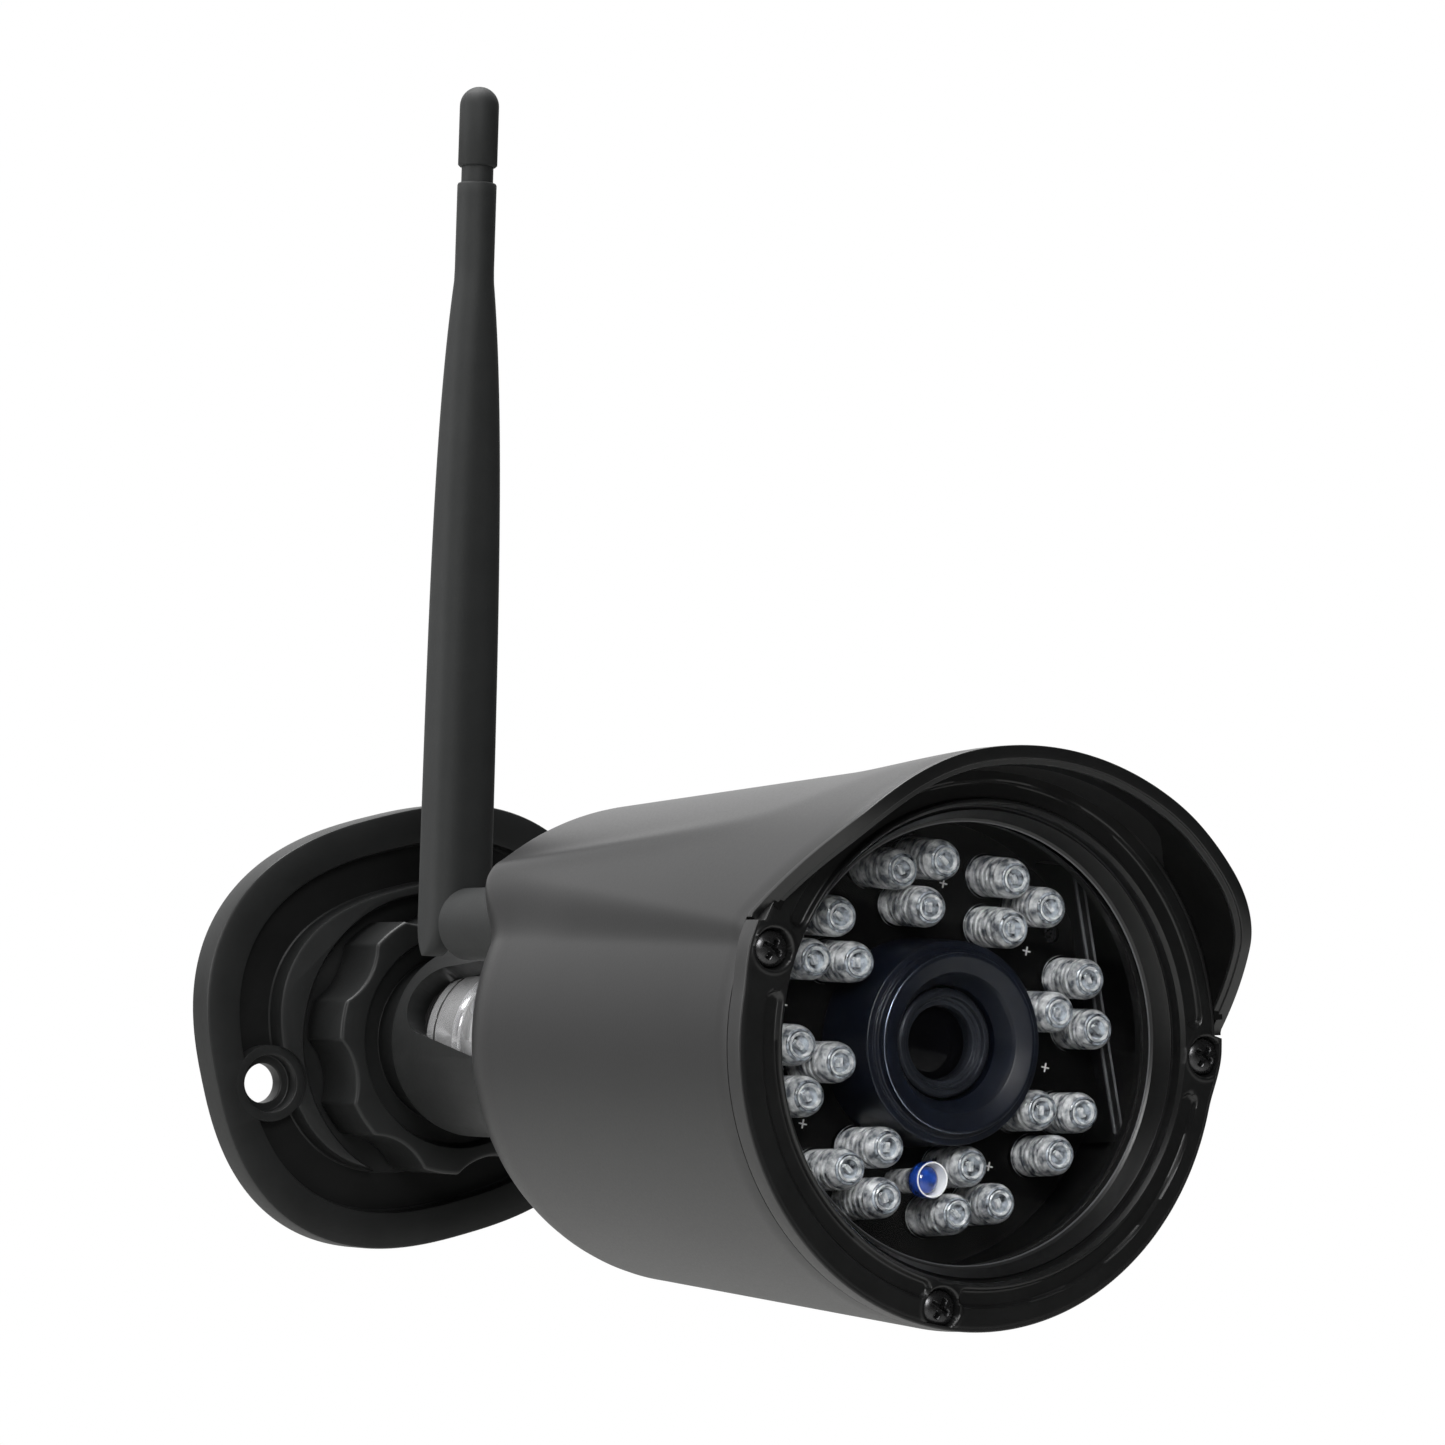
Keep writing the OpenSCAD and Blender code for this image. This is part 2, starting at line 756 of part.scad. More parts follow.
module blade_body() {
    shoulder = ant_len - cap_len - 2.2;
    taper_top = ant_len - 26;
    heights = concat([0], [for (i = [0:9]) 10 + (taper_top - 10) * sin(9 * i)], [taper_top, shoulder]);
    ring = 32;
    points = [for (h = heights) for (p = blade_outline(blade_width(h), blade_thick(h), ring))
        [p[0], p[1], h]];
    last = (len(heights) - 1) * ring;
    faces = concat(
        [[for (i = [0:ring - 1]) i]],
        [for (k = [0:len(heights) - 2]) for (i = [0:ring - 1]) let (j = (i + 1) % ring)
            [k * ring + i, (k + 1) * ring + i, (k + 1) * ring + j, k * ring + j]],
        [[for (i = [ring - 1:-1:0]) last + i]]);
    polyhedron(points, faces);
}

// Foot below the hinge, round about the pin so that it clears the barrel as it folds
module blade_foot() {
    intersection() {
        translate([0, 0, -blade_t]) linear_extrude(blade_t + EPS)
            polygon(blade_outline(blade_width(0), blade_thick(0)));
        rotate([0, 90, 0]) rod(blade_t / 2, -blade_w, blade_w);
    }
}

module antenna_blade() {
    shoulder = ant_len - cap_len - 2.2;
    fork_h = 3.4;
    color(MATT) at_blade() {
        difference() {
            union() {
                blade_body();
                blade_foot();
            }
            translate([-fork_w / 2 - 0.3, -8, -6]) cube([fork_w + 0.6, 16, 6 + fork_h]);
            rotate([0, 90, 0]) rod(pin_r + 0.05, -8, 8);
            rod(1.6, fork_h + 6, shoulder + 1);
        }
        tube(cap_d / 2 - 0.5, 1.6, shoulder, shoulder + 2.2);
    }
}

module antenna_core() {
    color(BRASS) at_blade() rod(1.4, 14, ant_len - cap_len);
}

module antenna_cap() {
    color(MATT) at_blade() {
        rod(cap_d / 2, ant_len - cap_len, ant_len - cap_d / 2);
        translate([0, 0, ant_len - cap_d / 2]) intersection() {
            sphere(r = cap_d / 2, $fn = 48);
            rod(cap_d, 0, cap_d);
        }
    }
}

wall_plate();
clamp_ring();
friction_washer();
stem();
ball_seat();
ball_stud();
stud_nut();
housing();
stud_insert();
visor_trim();
front_bezel();
bezel_screws();
body_seal();
window_glass();
glass_gasket();
glass_retainer();
led_board();
ir_leds();
light_sensor();
board_frame();
lens_shroud();
lens_barrel();
lens_front_glass();
lens_rear_glass();
lens_holder();
ir_cut_carrier();
ir_cut_filter();
sensor_board();
image_sensor();
front_spacers();
main_board();
shield_can();
board_chips();
rear_spacers();
board_screws();
led_lead();
cable_gland();
antenna_socket();
socket_nut();
aerial_lead();
antenna_barrel();
antenna_pin();
antenna_blade();
antenna_core();
antenna_cap();
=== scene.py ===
"""Outdoor wireless bullet camera on a ball-jointed wall bracket: looks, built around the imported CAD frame.

Distances along the camera are given as D, millimetres from the wall, and a point is (x, D, z) in
millimetres about the head's axis. row() turns such a point into the frame's metres.
"""

import json
import math

import bmesh
import bpy
from mathutils import Matrix, Vector


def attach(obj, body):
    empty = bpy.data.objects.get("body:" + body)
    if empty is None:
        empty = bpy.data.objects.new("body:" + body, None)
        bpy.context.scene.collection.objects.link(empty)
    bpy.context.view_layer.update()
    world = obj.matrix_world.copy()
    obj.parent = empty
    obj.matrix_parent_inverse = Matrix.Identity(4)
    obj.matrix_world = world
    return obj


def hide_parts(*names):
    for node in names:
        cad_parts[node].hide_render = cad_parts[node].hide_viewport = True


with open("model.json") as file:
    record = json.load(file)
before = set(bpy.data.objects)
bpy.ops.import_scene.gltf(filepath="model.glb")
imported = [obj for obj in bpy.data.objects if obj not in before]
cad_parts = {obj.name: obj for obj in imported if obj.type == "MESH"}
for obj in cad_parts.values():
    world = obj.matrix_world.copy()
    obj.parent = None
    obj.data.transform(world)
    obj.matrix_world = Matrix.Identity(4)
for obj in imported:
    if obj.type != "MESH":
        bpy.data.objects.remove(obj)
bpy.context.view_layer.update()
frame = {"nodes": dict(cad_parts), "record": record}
NODES = frame["nodes"]

MM = 0.001
HEAD_RISE = 0.9


# ---------- camera ----------

def place_camera():
    """Looks up at the head from its left front, a little rolled, through a long lens."""
    azimuth, elevation, roll = math.radians(-30.14), math.radians(-8.46), math.radians(10.28)
    focal_ratio = 4.152
    distance = 0.7282
    aim = Vector((0, -0.1415, 0.0009))
    aim_right, aim_down = 0.02973, 0.03894
    back = Vector((math.sin(azimuth) * math.cos(elevation), -math.cos(azimuth) * math.cos(elevation),
                   math.sin(elevation)))
    side = Vector((math.cos(azimuth), math.sin(azimuth), 0))
    up = side.cross(-back)
    right = side * math.cos(roll) + up * math.sin(roll)
    up = up * math.cos(roll) - side * math.sin(roll)
    location = aim - right * aim_right + up * aim_down + back * distance
    data = bpy.data.cameras.new("camera")
    data.sensor_width = 36.0
    data.lens = focal_ratio * data.sensor_width
    data.clip_start = 0.01
    data.clip_end = 50.0
    camera = bpy.data.objects.new("camera", data)
    camera.matrix_world = Matrix((
        (right.x, up.x, back.x, location.x),
        (right.y, up.y, back.y, location.y),
        (right.z, up.z, back.z, location.z),
        (0, 0, 0, 1)))
    bpy.context.scene.collection.objects.link(camera)
    bpy.context.scene.camera = camera


# ---------- light, floor and backdrop ----------

def area_light(name, location, aim, size, power):
    """A soft rectangular lamp turned to face its aim; size in metres, power in watts."""
    data = bpy.data.lights.new(name, "AREA")
    data.shape = "RECTANGLE"
    data.size, data.size_y = size
    data.energy = power
    light = bpy.data.objects.new(name, data)
    light.location = location
    light.rotation_euler = (Vector(aim) - Vector(location)).to_track_quat("-Z", "Y").to_euler()
    bpy.context.scene.collection.objects.link(light)


def build_studio():
    """Soft lamps above and to the left, and a world that is white paper behind and above, dark in front."""
    world = bpy.data.worlds.new("studio")
    world.use_nodes = True
    tree = world.node_tree
    tree.nodes.clear()
    seen = tree.nodes.new("ShaderNodeBackground")
    seen.inputs["Color"].default_value = (1, 1, 1, 1)
    seen.inputs["Strength"].default_value = 1.0
    place = tree.nodes.new("ShaderNodeTexCoord")
    toward = tree.nodes.new("ShaderNodeVectorMath")
    toward.operation = "DOT_PRODUCT"
    toward.inputs[1].default_value = Vector((0.0, 0.6, 0.8))
    tree.links.new(place.outputs["Generated"], toward.inputs[0])
    spread = tree.nodes.new("ShaderNodeMapRange")
    spread.interpolation_type = "SMOOTHSTEP"
    spread.inputs["From Min"].default_value = 0.2
    spread.inputs["From Max"].default_value = 0.95
    spread.inputs["To Min"].default_value = 0.03
    spread.inputs["To Max"].default_value = 1.1
    tree.links.new(toward.outputs["Value"], spread.inputs["Value"])
    fill = tree.nodes.new("ShaderNodeBackground")
    fill.inputs["Color"].default_value = (1, 1, 1, 1)
    tree.links.new(spread.outputs[0], fill.inputs["Strength"])
    path = tree.nodes.new("ShaderNodeLightPath")
    mix = tree.nodes.new("ShaderNodeMixShader")
    out = tree.nodes.new("ShaderNodeOutputWorld")
    tree.links.new(path.outputs["Is Camera Ray"], mix.inputs[0])
    tree.links.new(fill.outputs[0], mix.inputs[1])
    tree.links.new(seen.outputs[0], mix.inputs[2])
    tree.links.new(mix.outputs[0], out.inputs["Surface"])
    bpy.context.scene.world = world
    bpy.context.scene.view_settings.view_transform = "Standard"

    area_light("top_soft", location=(-0.25, 0.1, 0.9), aim=(0, -0.09, 0.0), size=(0.8, 0.7), power=14.0)
    area_light("key_left", location=(-0.75, -0.45, 0.75), aim=(0, -0.08, 0.02), size=(0.5, 0.5), power=4.5)
    area_light("front_soft", location=(-0.5, -0.95, 0.3), aim=(0, -0.14, 0.0), size=(0.3, 0.3), power=4.5)
    area_light("rear_left", location=(-0.8, 0.22, 0.1), aim=(0, -0.05, 0.0), size=(0.4, 0.6), power=3.4)

    bpy.ops.mesh.primitive_grid_add(x_subdivisions=8, y_subdivisions=8, size=6, location=(0, 0, -0.3))
    floor = bpy.context.object
    floor.name = "floor"
    floor.data.materials.append(surface("floor_pale", (0.5, 0.5, 0.49), rough=0.7, shade=0.03, spots=9))


# ---------- materials ----------

def surface(name, colour, rough=0.5, metal=0.0, shade=0.1, spots=300.0, grain=2500.0, grain_depth=0.0,
            rough_shift=0.06, coat=0.0, coat_rough=0.1, specular=0.5, stretch=(1, 1, 1), accent=None):
    """A material whose colour drifts over the surface, with a fine grain in its roughness and its normal.

    shade is how far the colour drifts, spots and grain are the scales of the drift and of the grain,
    grain_depth is in millimetres, and accent is the lighter colour where that is not the colour itself.
    """
    material = bpy.data.materials.new(name)
    material.use_nodes = True
    tree = material.node_tree
    shader = tree.nodes["Principled BSDF"]
    shader.inputs["Metallic"].default_value = metal
    shader.inputs["Specular IOR Level"].default_value = specular
    shader.inputs["Coat Weight"].default_value = coat
    shader.inputs["Coat Roughness"].default_value = coat_rough
    place = tree.nodes.new("ShaderNodeTexCoord")
    mapping = tree.nodes.new("ShaderNodeMapping")
    mapping.inputs["Scale"].default_value = stretch
    tree.links.new(place.outputs["Object"], mapping.inputs["Vector"])

    drift = tree.nodes.new("ShaderNodeTexNoise")
    drift.inputs["Scale"].default_value = spots
    drift.inputs["Detail"].default_value = 5
    tree.links.new(mapping.outputs[0], drift.inputs["Vector"])
    ramp = tree.nodes.new("ShaderNodeValToRGB")
    dark = [c * (1 - shade) for c in colour]
    light = [min(1, c * (1 + shade)) for c in (accent or colour)]
    ramp.color_ramp.elements[0].position = 0.35
    ramp.color_ramp.elements[0].color = (*dark, 1)
    ramp.color_ramp.elements[1].position = 0.65
    ramp.color_ramp.elements[1].color = (*light, 1)
    tree.links.new(drift.outputs["Fac"], ramp.inputs[0])
    tree.links.new(ramp.outputs[0], shader.inputs["Base Color"])

    speckle = tree.nodes.new("ShaderNodeTexNoise")
    speckle.inputs["Scale"].default_value = grain
    speckle.inputs["Detail"].default_value = 3
    tree.links.new(mapping.outputs[0], speckle.inputs["Vector"])
    spread = tree.nodes.new("ShaderNodeMapRange")
    spread.inputs["To Min"].default_value = max(0.02, rough - rough_shift)
    spread.inputs["To Max"].default_value = min(1.0, rough + rough_shift)
    tree.links.new(speckle.outputs["Fac"], spread.inputs["Value"])
    tree.links.new(spread.outputs[0], shader.inputs["Roughness"])
    if grain_depth:
        bump = tree.nodes.new("ShaderNodeBump")
        bump.inputs["Strength"].default_value = 0.6
        bump.inputs["Distance"].default_value = grain_depth * MM
        tree.links.new(speckle.outputs["Fac"], bump.inputs["Height"])
        tree.links.new(bump.outputs[0], shader.inputs["Normal"])
    return material


def clear(name, tint, rough, index=1.5):
    """Glass or clear resin, with faint smears in its roughness."""
    material = surface(name, tint, rough=rough, shade=0.02, spots=700.0, rough_shift=0.015)
    shader = material.node_tree.nodes["Principled BSDF"]
    shader.inputs["Transmission Weight"].default_value = 1.0
    shader.inputs["IOR"].default_value = index
    return material


def board_material(name, mask, trace, pitch):
    """Solder mask with the faint raised lines of the copper tracks under it."""
    material = surface(name, mask, rough=0.32, shade=0.1, spots=500, coat=0.3)
    tree = material.node_tree
    shader = tree.nodes["Principled BSDF"]
    place = next(n for n in tree.nodes if n.type == "TEX_COORD")
    turn = tree.nodes.new("ShaderNodeMapping")
    turn.inputs["Rotation"].default_value = (math.radians(90), 0, 0)
    tree.links.new(place.outputs["Object"], turn.inputs["Vector"])
    bricks = tree.nodes.new("ShaderNodeTexBrick")
    bricks.inputs["Color1"].default_value = (*mask, 1)
    bricks.inputs["Color2"].default_value = (*[c * 0.8 for c in mask], 1)
    bricks.inputs["Mortar"].default_value = (*trace, 1)
    bricks.inputs["Scale"].default_value = pitch
    bricks.inputs["Mortar Size"].default_value = 0.035
    tree.links.new(turn.outputs[0], bricks.inputs["Vector"])
    tree.links.new(bricks.outputs["Color"], shader.inputs["Base Color"])
    bump = tree.nodes.new("ShaderNodeBump")
    bump.inputs["Strength"].default_value = 0.5
    bump.inputs["Distance"].default_value = 0.05 * MM
    tree.links.new(bricks.outputs["Fac"], bump.inputs["Height"])
    tree.links.new(bump.outputs[0], shader.inputs["Normal"])
    return material


SURFACES = {
    # Head
    "charcoal_shell": dict(colour=(0.0095, 0.0095, 0.0098), rough=0.38, shade=0.05, spots=90, grain=3200,
                           grain_depth=0.012),
    "trim_black": dict(colour=(0.0068, 0.007, 0.0071), rough=0.33, shade=0.15, spots=250, grain=2600,
                       grain_depth=0.006),
    # Painted light: a lighter copy of trim_black for the bezel's side band
    "lit_band_black": dict(colour=(0.011, 0.011, 0.0112), rough=0.4, shade=0.1, spots=250, grain=2600,
                       grain_depth=0.006),
    "liner_black": dict(colour=(0.003, 0.003, 0.003), rough=0.55, shade=0.2, spots=250, grain=2600,
                        grain_depth=0.01, specular=0.15),
    "screw_black": dict(colour=(0.07, 0.07, 0.072), rough=0.28, metal=0.9, shade=0.2, spots=900,
                        grain_depth=0.01),
    # Painted highlight: a lighter grey for thin lines along lit edges
    "edge_grey": dict(colour=(0.1, 0.102, 0.108), rough=0.3, shade=0.1, spots=500),
    # Bracket and antenna
    "bracket_black": dict(colour=(0.012, 0.0125, 0.0125), rough=0.42, shade=0.12, spots=160, grain=2200,
                          grain_depth=0.02, specular=0.32),
    # Painted shade: a darker black for the floor of the plate's groove
    "recess_black": dict(colour=(0.0068, 0.007, 0.007), rough=0.6, shade=0.15, spots=160, grain=2200,
                         grain_depth=0.02, specular=0.15),
    "antenna_matte": dict(colour=(0.0165, 0.0175, 0.0175), rough=0.62, shade=0.08, spots=220, grain=2800,
                          grain_depth=0.03, specular=0.3),
    "rubber_black": dict(colour=(0.012, 0.012, 0.012), rough=0.75, shade=0.2, spots=400, grain_depth=0.03,
                         specular=0.3),
    # Metals, with their grain drawn out along the turned parts
    "chrome_steel": dict(colour=(0.95, 0.95, 0.96), rough=0.14, metal=0.8, shade=0.04, spots=400,
                         stretch=(1, 8, 1), rough_shift=0.05),
    "steel": dict(colour=(0.6, 0.61, 0.62), rough=0.32, metal=1.0, shade=0.08, spots=600, stretch=(1, 6, 1)),
    "brass": dict(colour=(0.7, 0.53, 0.25), rough=0.3, metal=1.0, shade=0.1, spots=500, stretch=(1, 6, 1),
                  grain_depth=0.01),
    # Lamps and light sensor
    "lamp_silver": dict(colour=(0.3, 0.33, 0.38), rough=0.12, metal=0.1, shade=0.6, spots=800, grain=1300,
                        grain_depth=0.6, accent=(1.0, 1.0, 1.0), rough_shift=0.1, coat=1.0, coat_rough=0.04),
    "lamp_cup": dict(colour=(0.02, 0.023, 0.03), rough=0.2, shade=0.3, spots=1200, accent=(0.35, 0.38, 0.42)),
    "lamp_chip": dict(colour=(0.6, 0.65, 0.7), rough=0.2, metal=0.3, shade=0.5, spots=1500,
                      accent=(1.0, 1.0, 1.0), rough_shift=0.1),
    "sensor_blue": dict(colour=(0.008, 0.042, 0.26), rough=0.12, shade=0.5, spots=900, coat=1.0,
                        coat_rough=0.03),
    "white_resin": dict(colour=(0.85, 0.85, 0.84), rough=0.4, shade=0.04, spots=700),
    # Lens
    "shroud_satin": dict(colour=(0.0026, 0.0042, 0.0092), rough=0.34, shade=0.15, spots=350, rough_shift=0.02,
                         grain=2600, grain_depth=0.003, specular=0.42),
    "barrel_satin": dict(colour=(0.02, 0.023, 0.03), rough=0.3, metal=0.5, shade=0.1, spots=350, grain=2600,
                         grain_depth=0.006),
    # Painted highlight: lighter bluish metal for the lens rings' edges
    "ring_grey": dict(colour=(0.34, 0.39, 0.5), rough=0.25, metal=0.9, shade=0.1, spots=350, grain=2600,
                      grain_depth=0.006),
    "lens_glass": dict(colour=(0.001, 0.001, 0.0015), rough=0.08, shade=0.3, spots=200, specular=0.15,
                       rough_shift=0.02),
    # Electronics
    "board_black": dict(colour=(0.002, 0.002, 0.002), rough=0.5, shade=0.3, spots=500, grain=3000,
                        grain_depth=0.004, specular=0.1),
    "chip_black": dict(colour=(0.02, 0.02, 0.022), rough=0.5, shade=0.15, spots=800, grain_depth=0.015),
    "ribbon_white": dict(colour=(0.72, 0.72, 0.72), rough=0.45, shade=0.1, spots=1500, stretch=(1, 0.1, 6)),
}
CLEAR = {
    "clear_glass": dict(tint=(0.97, 0.98, 0.985), rough=0.02, index=1.2),
    "lamp_clear": dict(tint=(0.97, 0.985, 1.0), rough=0.03, index=1.3),
    "filter_glass": dict(tint=(0.8, 0.55, 0.6), rough=0.03),
}


def make_materials():
    made = {name: surface(name, **look) for name, look in SURFACES.items()}
    made.update({name: clear(name, **look) for name, look in CLEAR.items()})
    made["board_green"] = board_material("board_green", mask=(0.015, 0.09, 0.045), trace=(0.03, 0.15, 0.08),
                                         pitch=320)
    return made


# ---------- mesh helpers ----------

def row(x, d, z, rise=HEAD_RISE):
    """The point (x, D, z), in millimetres about the head's axis, as a place in the frame."""
    return Vector((x * MM, -d * MM, (z + rise) * MM))


def lerp(a, b, t):
    return a + (b - a) * t


def arc_points(radius, centre, angles):
    """Points (radius, D) on an arc about a centre on the axis, at angles from the axis in degrees."""
    return [(radius * math.sin(math.radians(t)), centre + radius * math.cos(math.radians(t))) for t in angles]


def superellipse(half_width, half_height, power, count):
    """Points of a rounded outline: an ellipse at power 2, nearer a rectangle above that."""
    points = []
    for k in range(count):
        a = 2 * math.pi * k / count
        c, s = math.cos(a), math.sin(a)
        points.append((half_width * math.copysign(abs(c) ** (2 / power), c),
                       half_height * math.copysign(abs(s) ** (2 / power), s)))
    return points


def smoothstep(low, high, value):
    t = min(1.0, max(0.0, (value - low) / (high - low)))
    return t * t * (3 - 2 * t)


def smooth_min(a, b, radius):
    """The lower of a and b, with the corner where they meet rounded over."""
    h = max(0.0, 1 - abs(a - b) / radius)
    return min(a, b) - h * h * radius / 4


def fillet(points, radius, steps=4, closed=False):
    """A polyline with each corner turned into an arc. A point may carry its own radius as a third value."""
    result = []
    count = len(points)
    for i, point in enumerate(points):
        r = point[2] if len(point) > 2 else radius
        here = Vector(point[:2])
        if not closed and i in (0, count - 1) or r <= 0:
            result.append(tuple(here))
            continue
        before = Vector(points[i - 1][:2]) - here
        after = Vector(points[(i + 1) % count][:2]) - here
        reach = min(before.length, after.length) * 0.48
        angle = before.angle(after)
        cut = min(reach, r / max(1e-6, math.tan(angle / 2)))
        start = here + before.normalized() * cut
        end = here + after.normalized() * cut
        for k in range(steps + 1):
            t = k / steps
            result.append(tuple(start * (1 - t) ** 2 + here * 2 * t * (1 - t) + end * t * t))
    return result


def new_piece(name, verts, faces, material, body, slot=None, replaces=(), sharp=40.0):
    """Makes a visible piece that rides on a body. Edges sharper than this angle stay sharp."""
    mesh = bpy.data.meshes.new(name)
    mesh.from_pydata([tuple(v) for v in verts], [], faces)
    piece = bpy.data.objects.new(name, mesh)
    bpy.context.scene.collection.objects.link(piece)
    finish_mesh(piece, sharp)
    mesh.materials.append(MATERIALS[material])
    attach(piece, body)
    if replaces:
        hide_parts(*replaces)
    return piece


def finish_mesh(piece, sharp):
    """Merges doubled points, turns the faces outward, and smooths all but the sharp edges."""
    bm = bmesh.new()
    bm.from_mesh(piece.data)
    bmesh.ops.remove_doubles(bm, verts=bm.verts, dist=2e-6)
    bmesh.ops.dissolve_degenerate(bm, edges=bm.edges, dist=1e-6)
    bmesh.ops.recalc_face_normals(bm, faces=bm.faces)
    limit = math.radians(sharp)
    for face in bm.faces:
        face.smooth = True
    for edge in bm.edges:
        edge.smooth = len(edge.link_faces) == 2 and edge.calc_face_angle(0) < limit
    bm.to_mesh(piece.data)
    bm.free()


def loft(rings, cap=True):
    """Joins rings of points, in order, into (verts, faces)."""
    count = len(rings[0])
    verts = [p for ring in rings for p in ring]
    faces = []
    for k in range(len(rings) - 1):
        for i in range(count):
            j = (i + 1) % count
            faces.append((k * count + i, k * count + j, (k + 1) * count + j, (k + 1) * count + i))
    if cap:
        faces.append(tuple(range(count)))
        faces.append(tuple(reversed(range(len(verts) - count, len(verts)))))
    return verts, faces


def turned(profile, centre=(0, 0), steps=128, rise=HEAD_RISE):
    """A closed profile of (radius, D) turned about an axis through centre. A radius may be 0 at both ends."""
    verts = []
    faces = []
    count = len(profile)
    for k in range(steps):
        a = 2 * math.pi * k / steps
        verts += [row(centre[0] + r * math.cos(a), d, centre[1] + r * math.sin(a), rise) for r, d in profile]
    for k in range(steps):
        n = (k + 1) % steps
        for i in range(count):
            j = (i + 1) % count
            if profile[i][0] < 1e-6 and profile[j][0] < 1e-6:
                continue
            faces.append((k * count + i, k * count + j, n * count + j, n * count + i))
    return verts, faces


def swept(profile_at, angles, closed=True, rise=HEAD_RISE):
    """A closed profile of (radius, D) that changes with the angle, swept about the axis."""
    rings = []
    for a in angles:
        t = math.radians(a)
        rings.append([row(r * math.cos(t), d, r * math.sin(t), rise) for r, d in profile_at(a)])
    if closed:
        rings.append(rings[0])
    return loft(rings, cap=not closed)


def bar(x, z, width, length, d0, d1, turn):
    """A straight bar between two distances from the wall, with softened edges."""
    half, long = width / 2, length / 2
    outline = fillet([(-long, -half), (long, -half), (long, half), (-long, half)], 0.08, 2, closed=True)
    c, s = math.cos(turn), math.sin(turn)
    rings = [[row(x + u * c - v * s, d, z + u * s + v * c) for u, v in outline] for d in (d0, d1)]
    return loft(rings)


def join_shapes(shapes):
    verts, faces = [], []
    for v, f in shapes:
        base = len(verts)
        verts += v
        faces += [tuple(i + base for i in face) for face in f]
    return verts, faces


def cut(piece, cutter_shape):
    """Takes a closed shape out of a piece."""
    mesh = bpy.data.meshes.new("cutter")
    mesh.from_pydata([tuple(v) for v in cutter_shape[0]], [], cutter_shape[1])
    cutter = bpy.data.objects.new("cutter", mesh)
    bpy.context.scene.collection.objects.link(cutter)
    finish_mesh(cutter, 30)
    modifier = piece.modifiers.new("cut", "BOOLEAN")
    modifier.operation = "DIFFERENCE"
    modifier.solver = "EXACT"
    modifier.object = cutter
    apply_modifiers(piece)
    bpy.data.objects.remove(cutter)


def apply_modifiers(piece):
    graph = bpy.context.evaluated_depsgraph_get()
    mesh = bpy.data.meshes.new_from_object(piece.evaluated_get(graph))
    piece.modifiers.clear()
    old = piece.data
    piece.data = mesh
    bpy.data.meshes.remove(old)


MATERIALS = make_materials()
place_camera()
build_studio()


# ---------- head shell ----------

# How far from the wall: the window's seat, the shell's seam with the bezel, the hood's tip, the bezel's face
WINDOW_D = 141.5
SEAM_D = 143.0
HOOD_D = 156.0
BEZEL_D = 146.0
# Radii at the window, and how much each shrinks per millimetre towards the wall
LOW_R, LOW_TAPER = 34.55, 0.05
SIDE_R, SIDE_TAPER = 35.9, 0.02
TOP_R, TOP_RISE, TOP_TAPER = 40.0, 35.0, 0.053
# Where the rear dome starts under the lower body and under the visor, and how deep it is there
LOW_DOME_D, LOW_DOME_H = 79.5, 23.4
TOP_DOME_D, TOP_DOME_H = 71.5, 10.5
WALL = 2.2
REAR_FLAT_D = 57.5


def low_radius(angle, d):
    """Radius of the lower body, whose centre lies a little below and left of the window's."""
    t = math.radians(angle)
    return LOW_R - LOW_TAPER * (WINDOW_D - d) - 0.6 * math.cos(t) - 0.45 * math.sin(t)


def visor_radius(angle, d):
    """Radius of the visor's skin: its round sides, cut by the flatter top panel."""
    back = WINDOW_D - d
    side = SIDE_R - SIDE_TAPER * back
    s, c = math.sin(math.radians(angle)), math.cos(math.radians(angle))
    dip = 0.8 * smoothstep(-12, 15, back)
    top_centre = TOP_RISE - dip - TOP_R - TOP_TAPER * back
    top = top_centre * s + math.sqrt(TOP_R ** 2 - (top_centre * c) ** 2)
    ridge = 0.24 * math.exp(-((side - top + 0.12) / 0.3) ** 2) * smoothstep(8, 35, back)
    return smooth_min(side, top, 0.14) + ridge


def visor_share(angle, d):
    """0 on the lower body, 1 on the visor, with a soft step between them."""
    back = WINDOW_D - d
    edge = math.degrees(math.asin(min(0.9, (6.0 + 0.077 * back) / SIDE_R)))
    above = 90 - abs(90 - (angle % 360)) if angle % 360 < 180 else -1
    soft = lerp(4.0, 12.5, min(1, max(0, back / 75)))
    return smoothstep(edge - soft * 0.55, edge + soft * 0.75, above)


def hood_edge(angle, back=0.0):
    """How far forward the hood reaches at this angle."""
    z = SIDE_R * math.sin(math.radians(angle))
    arc_r, arc_z, slant = 12.0, 26.4, math.radians(41.8)
    front = HOOD_D - back
    if z >= arc_z:
        return front
    run_z = arc_z - arc_r * math.sin(slant)
    if z >= run_z:
        return front - arc_r + arc_r * math.cos(math.asin((arc_z - z) / arc_r))
    return front - arc_r + arc_r * math.cos(slant) - (run_z - z) * math.tan(slant)


def shell_front(angle):
    """Where the shell ends: behind the trim on the hood, and at the bezel's seam below it."""
    return max(SEAM_D, hood_edge(angle, 1.2))


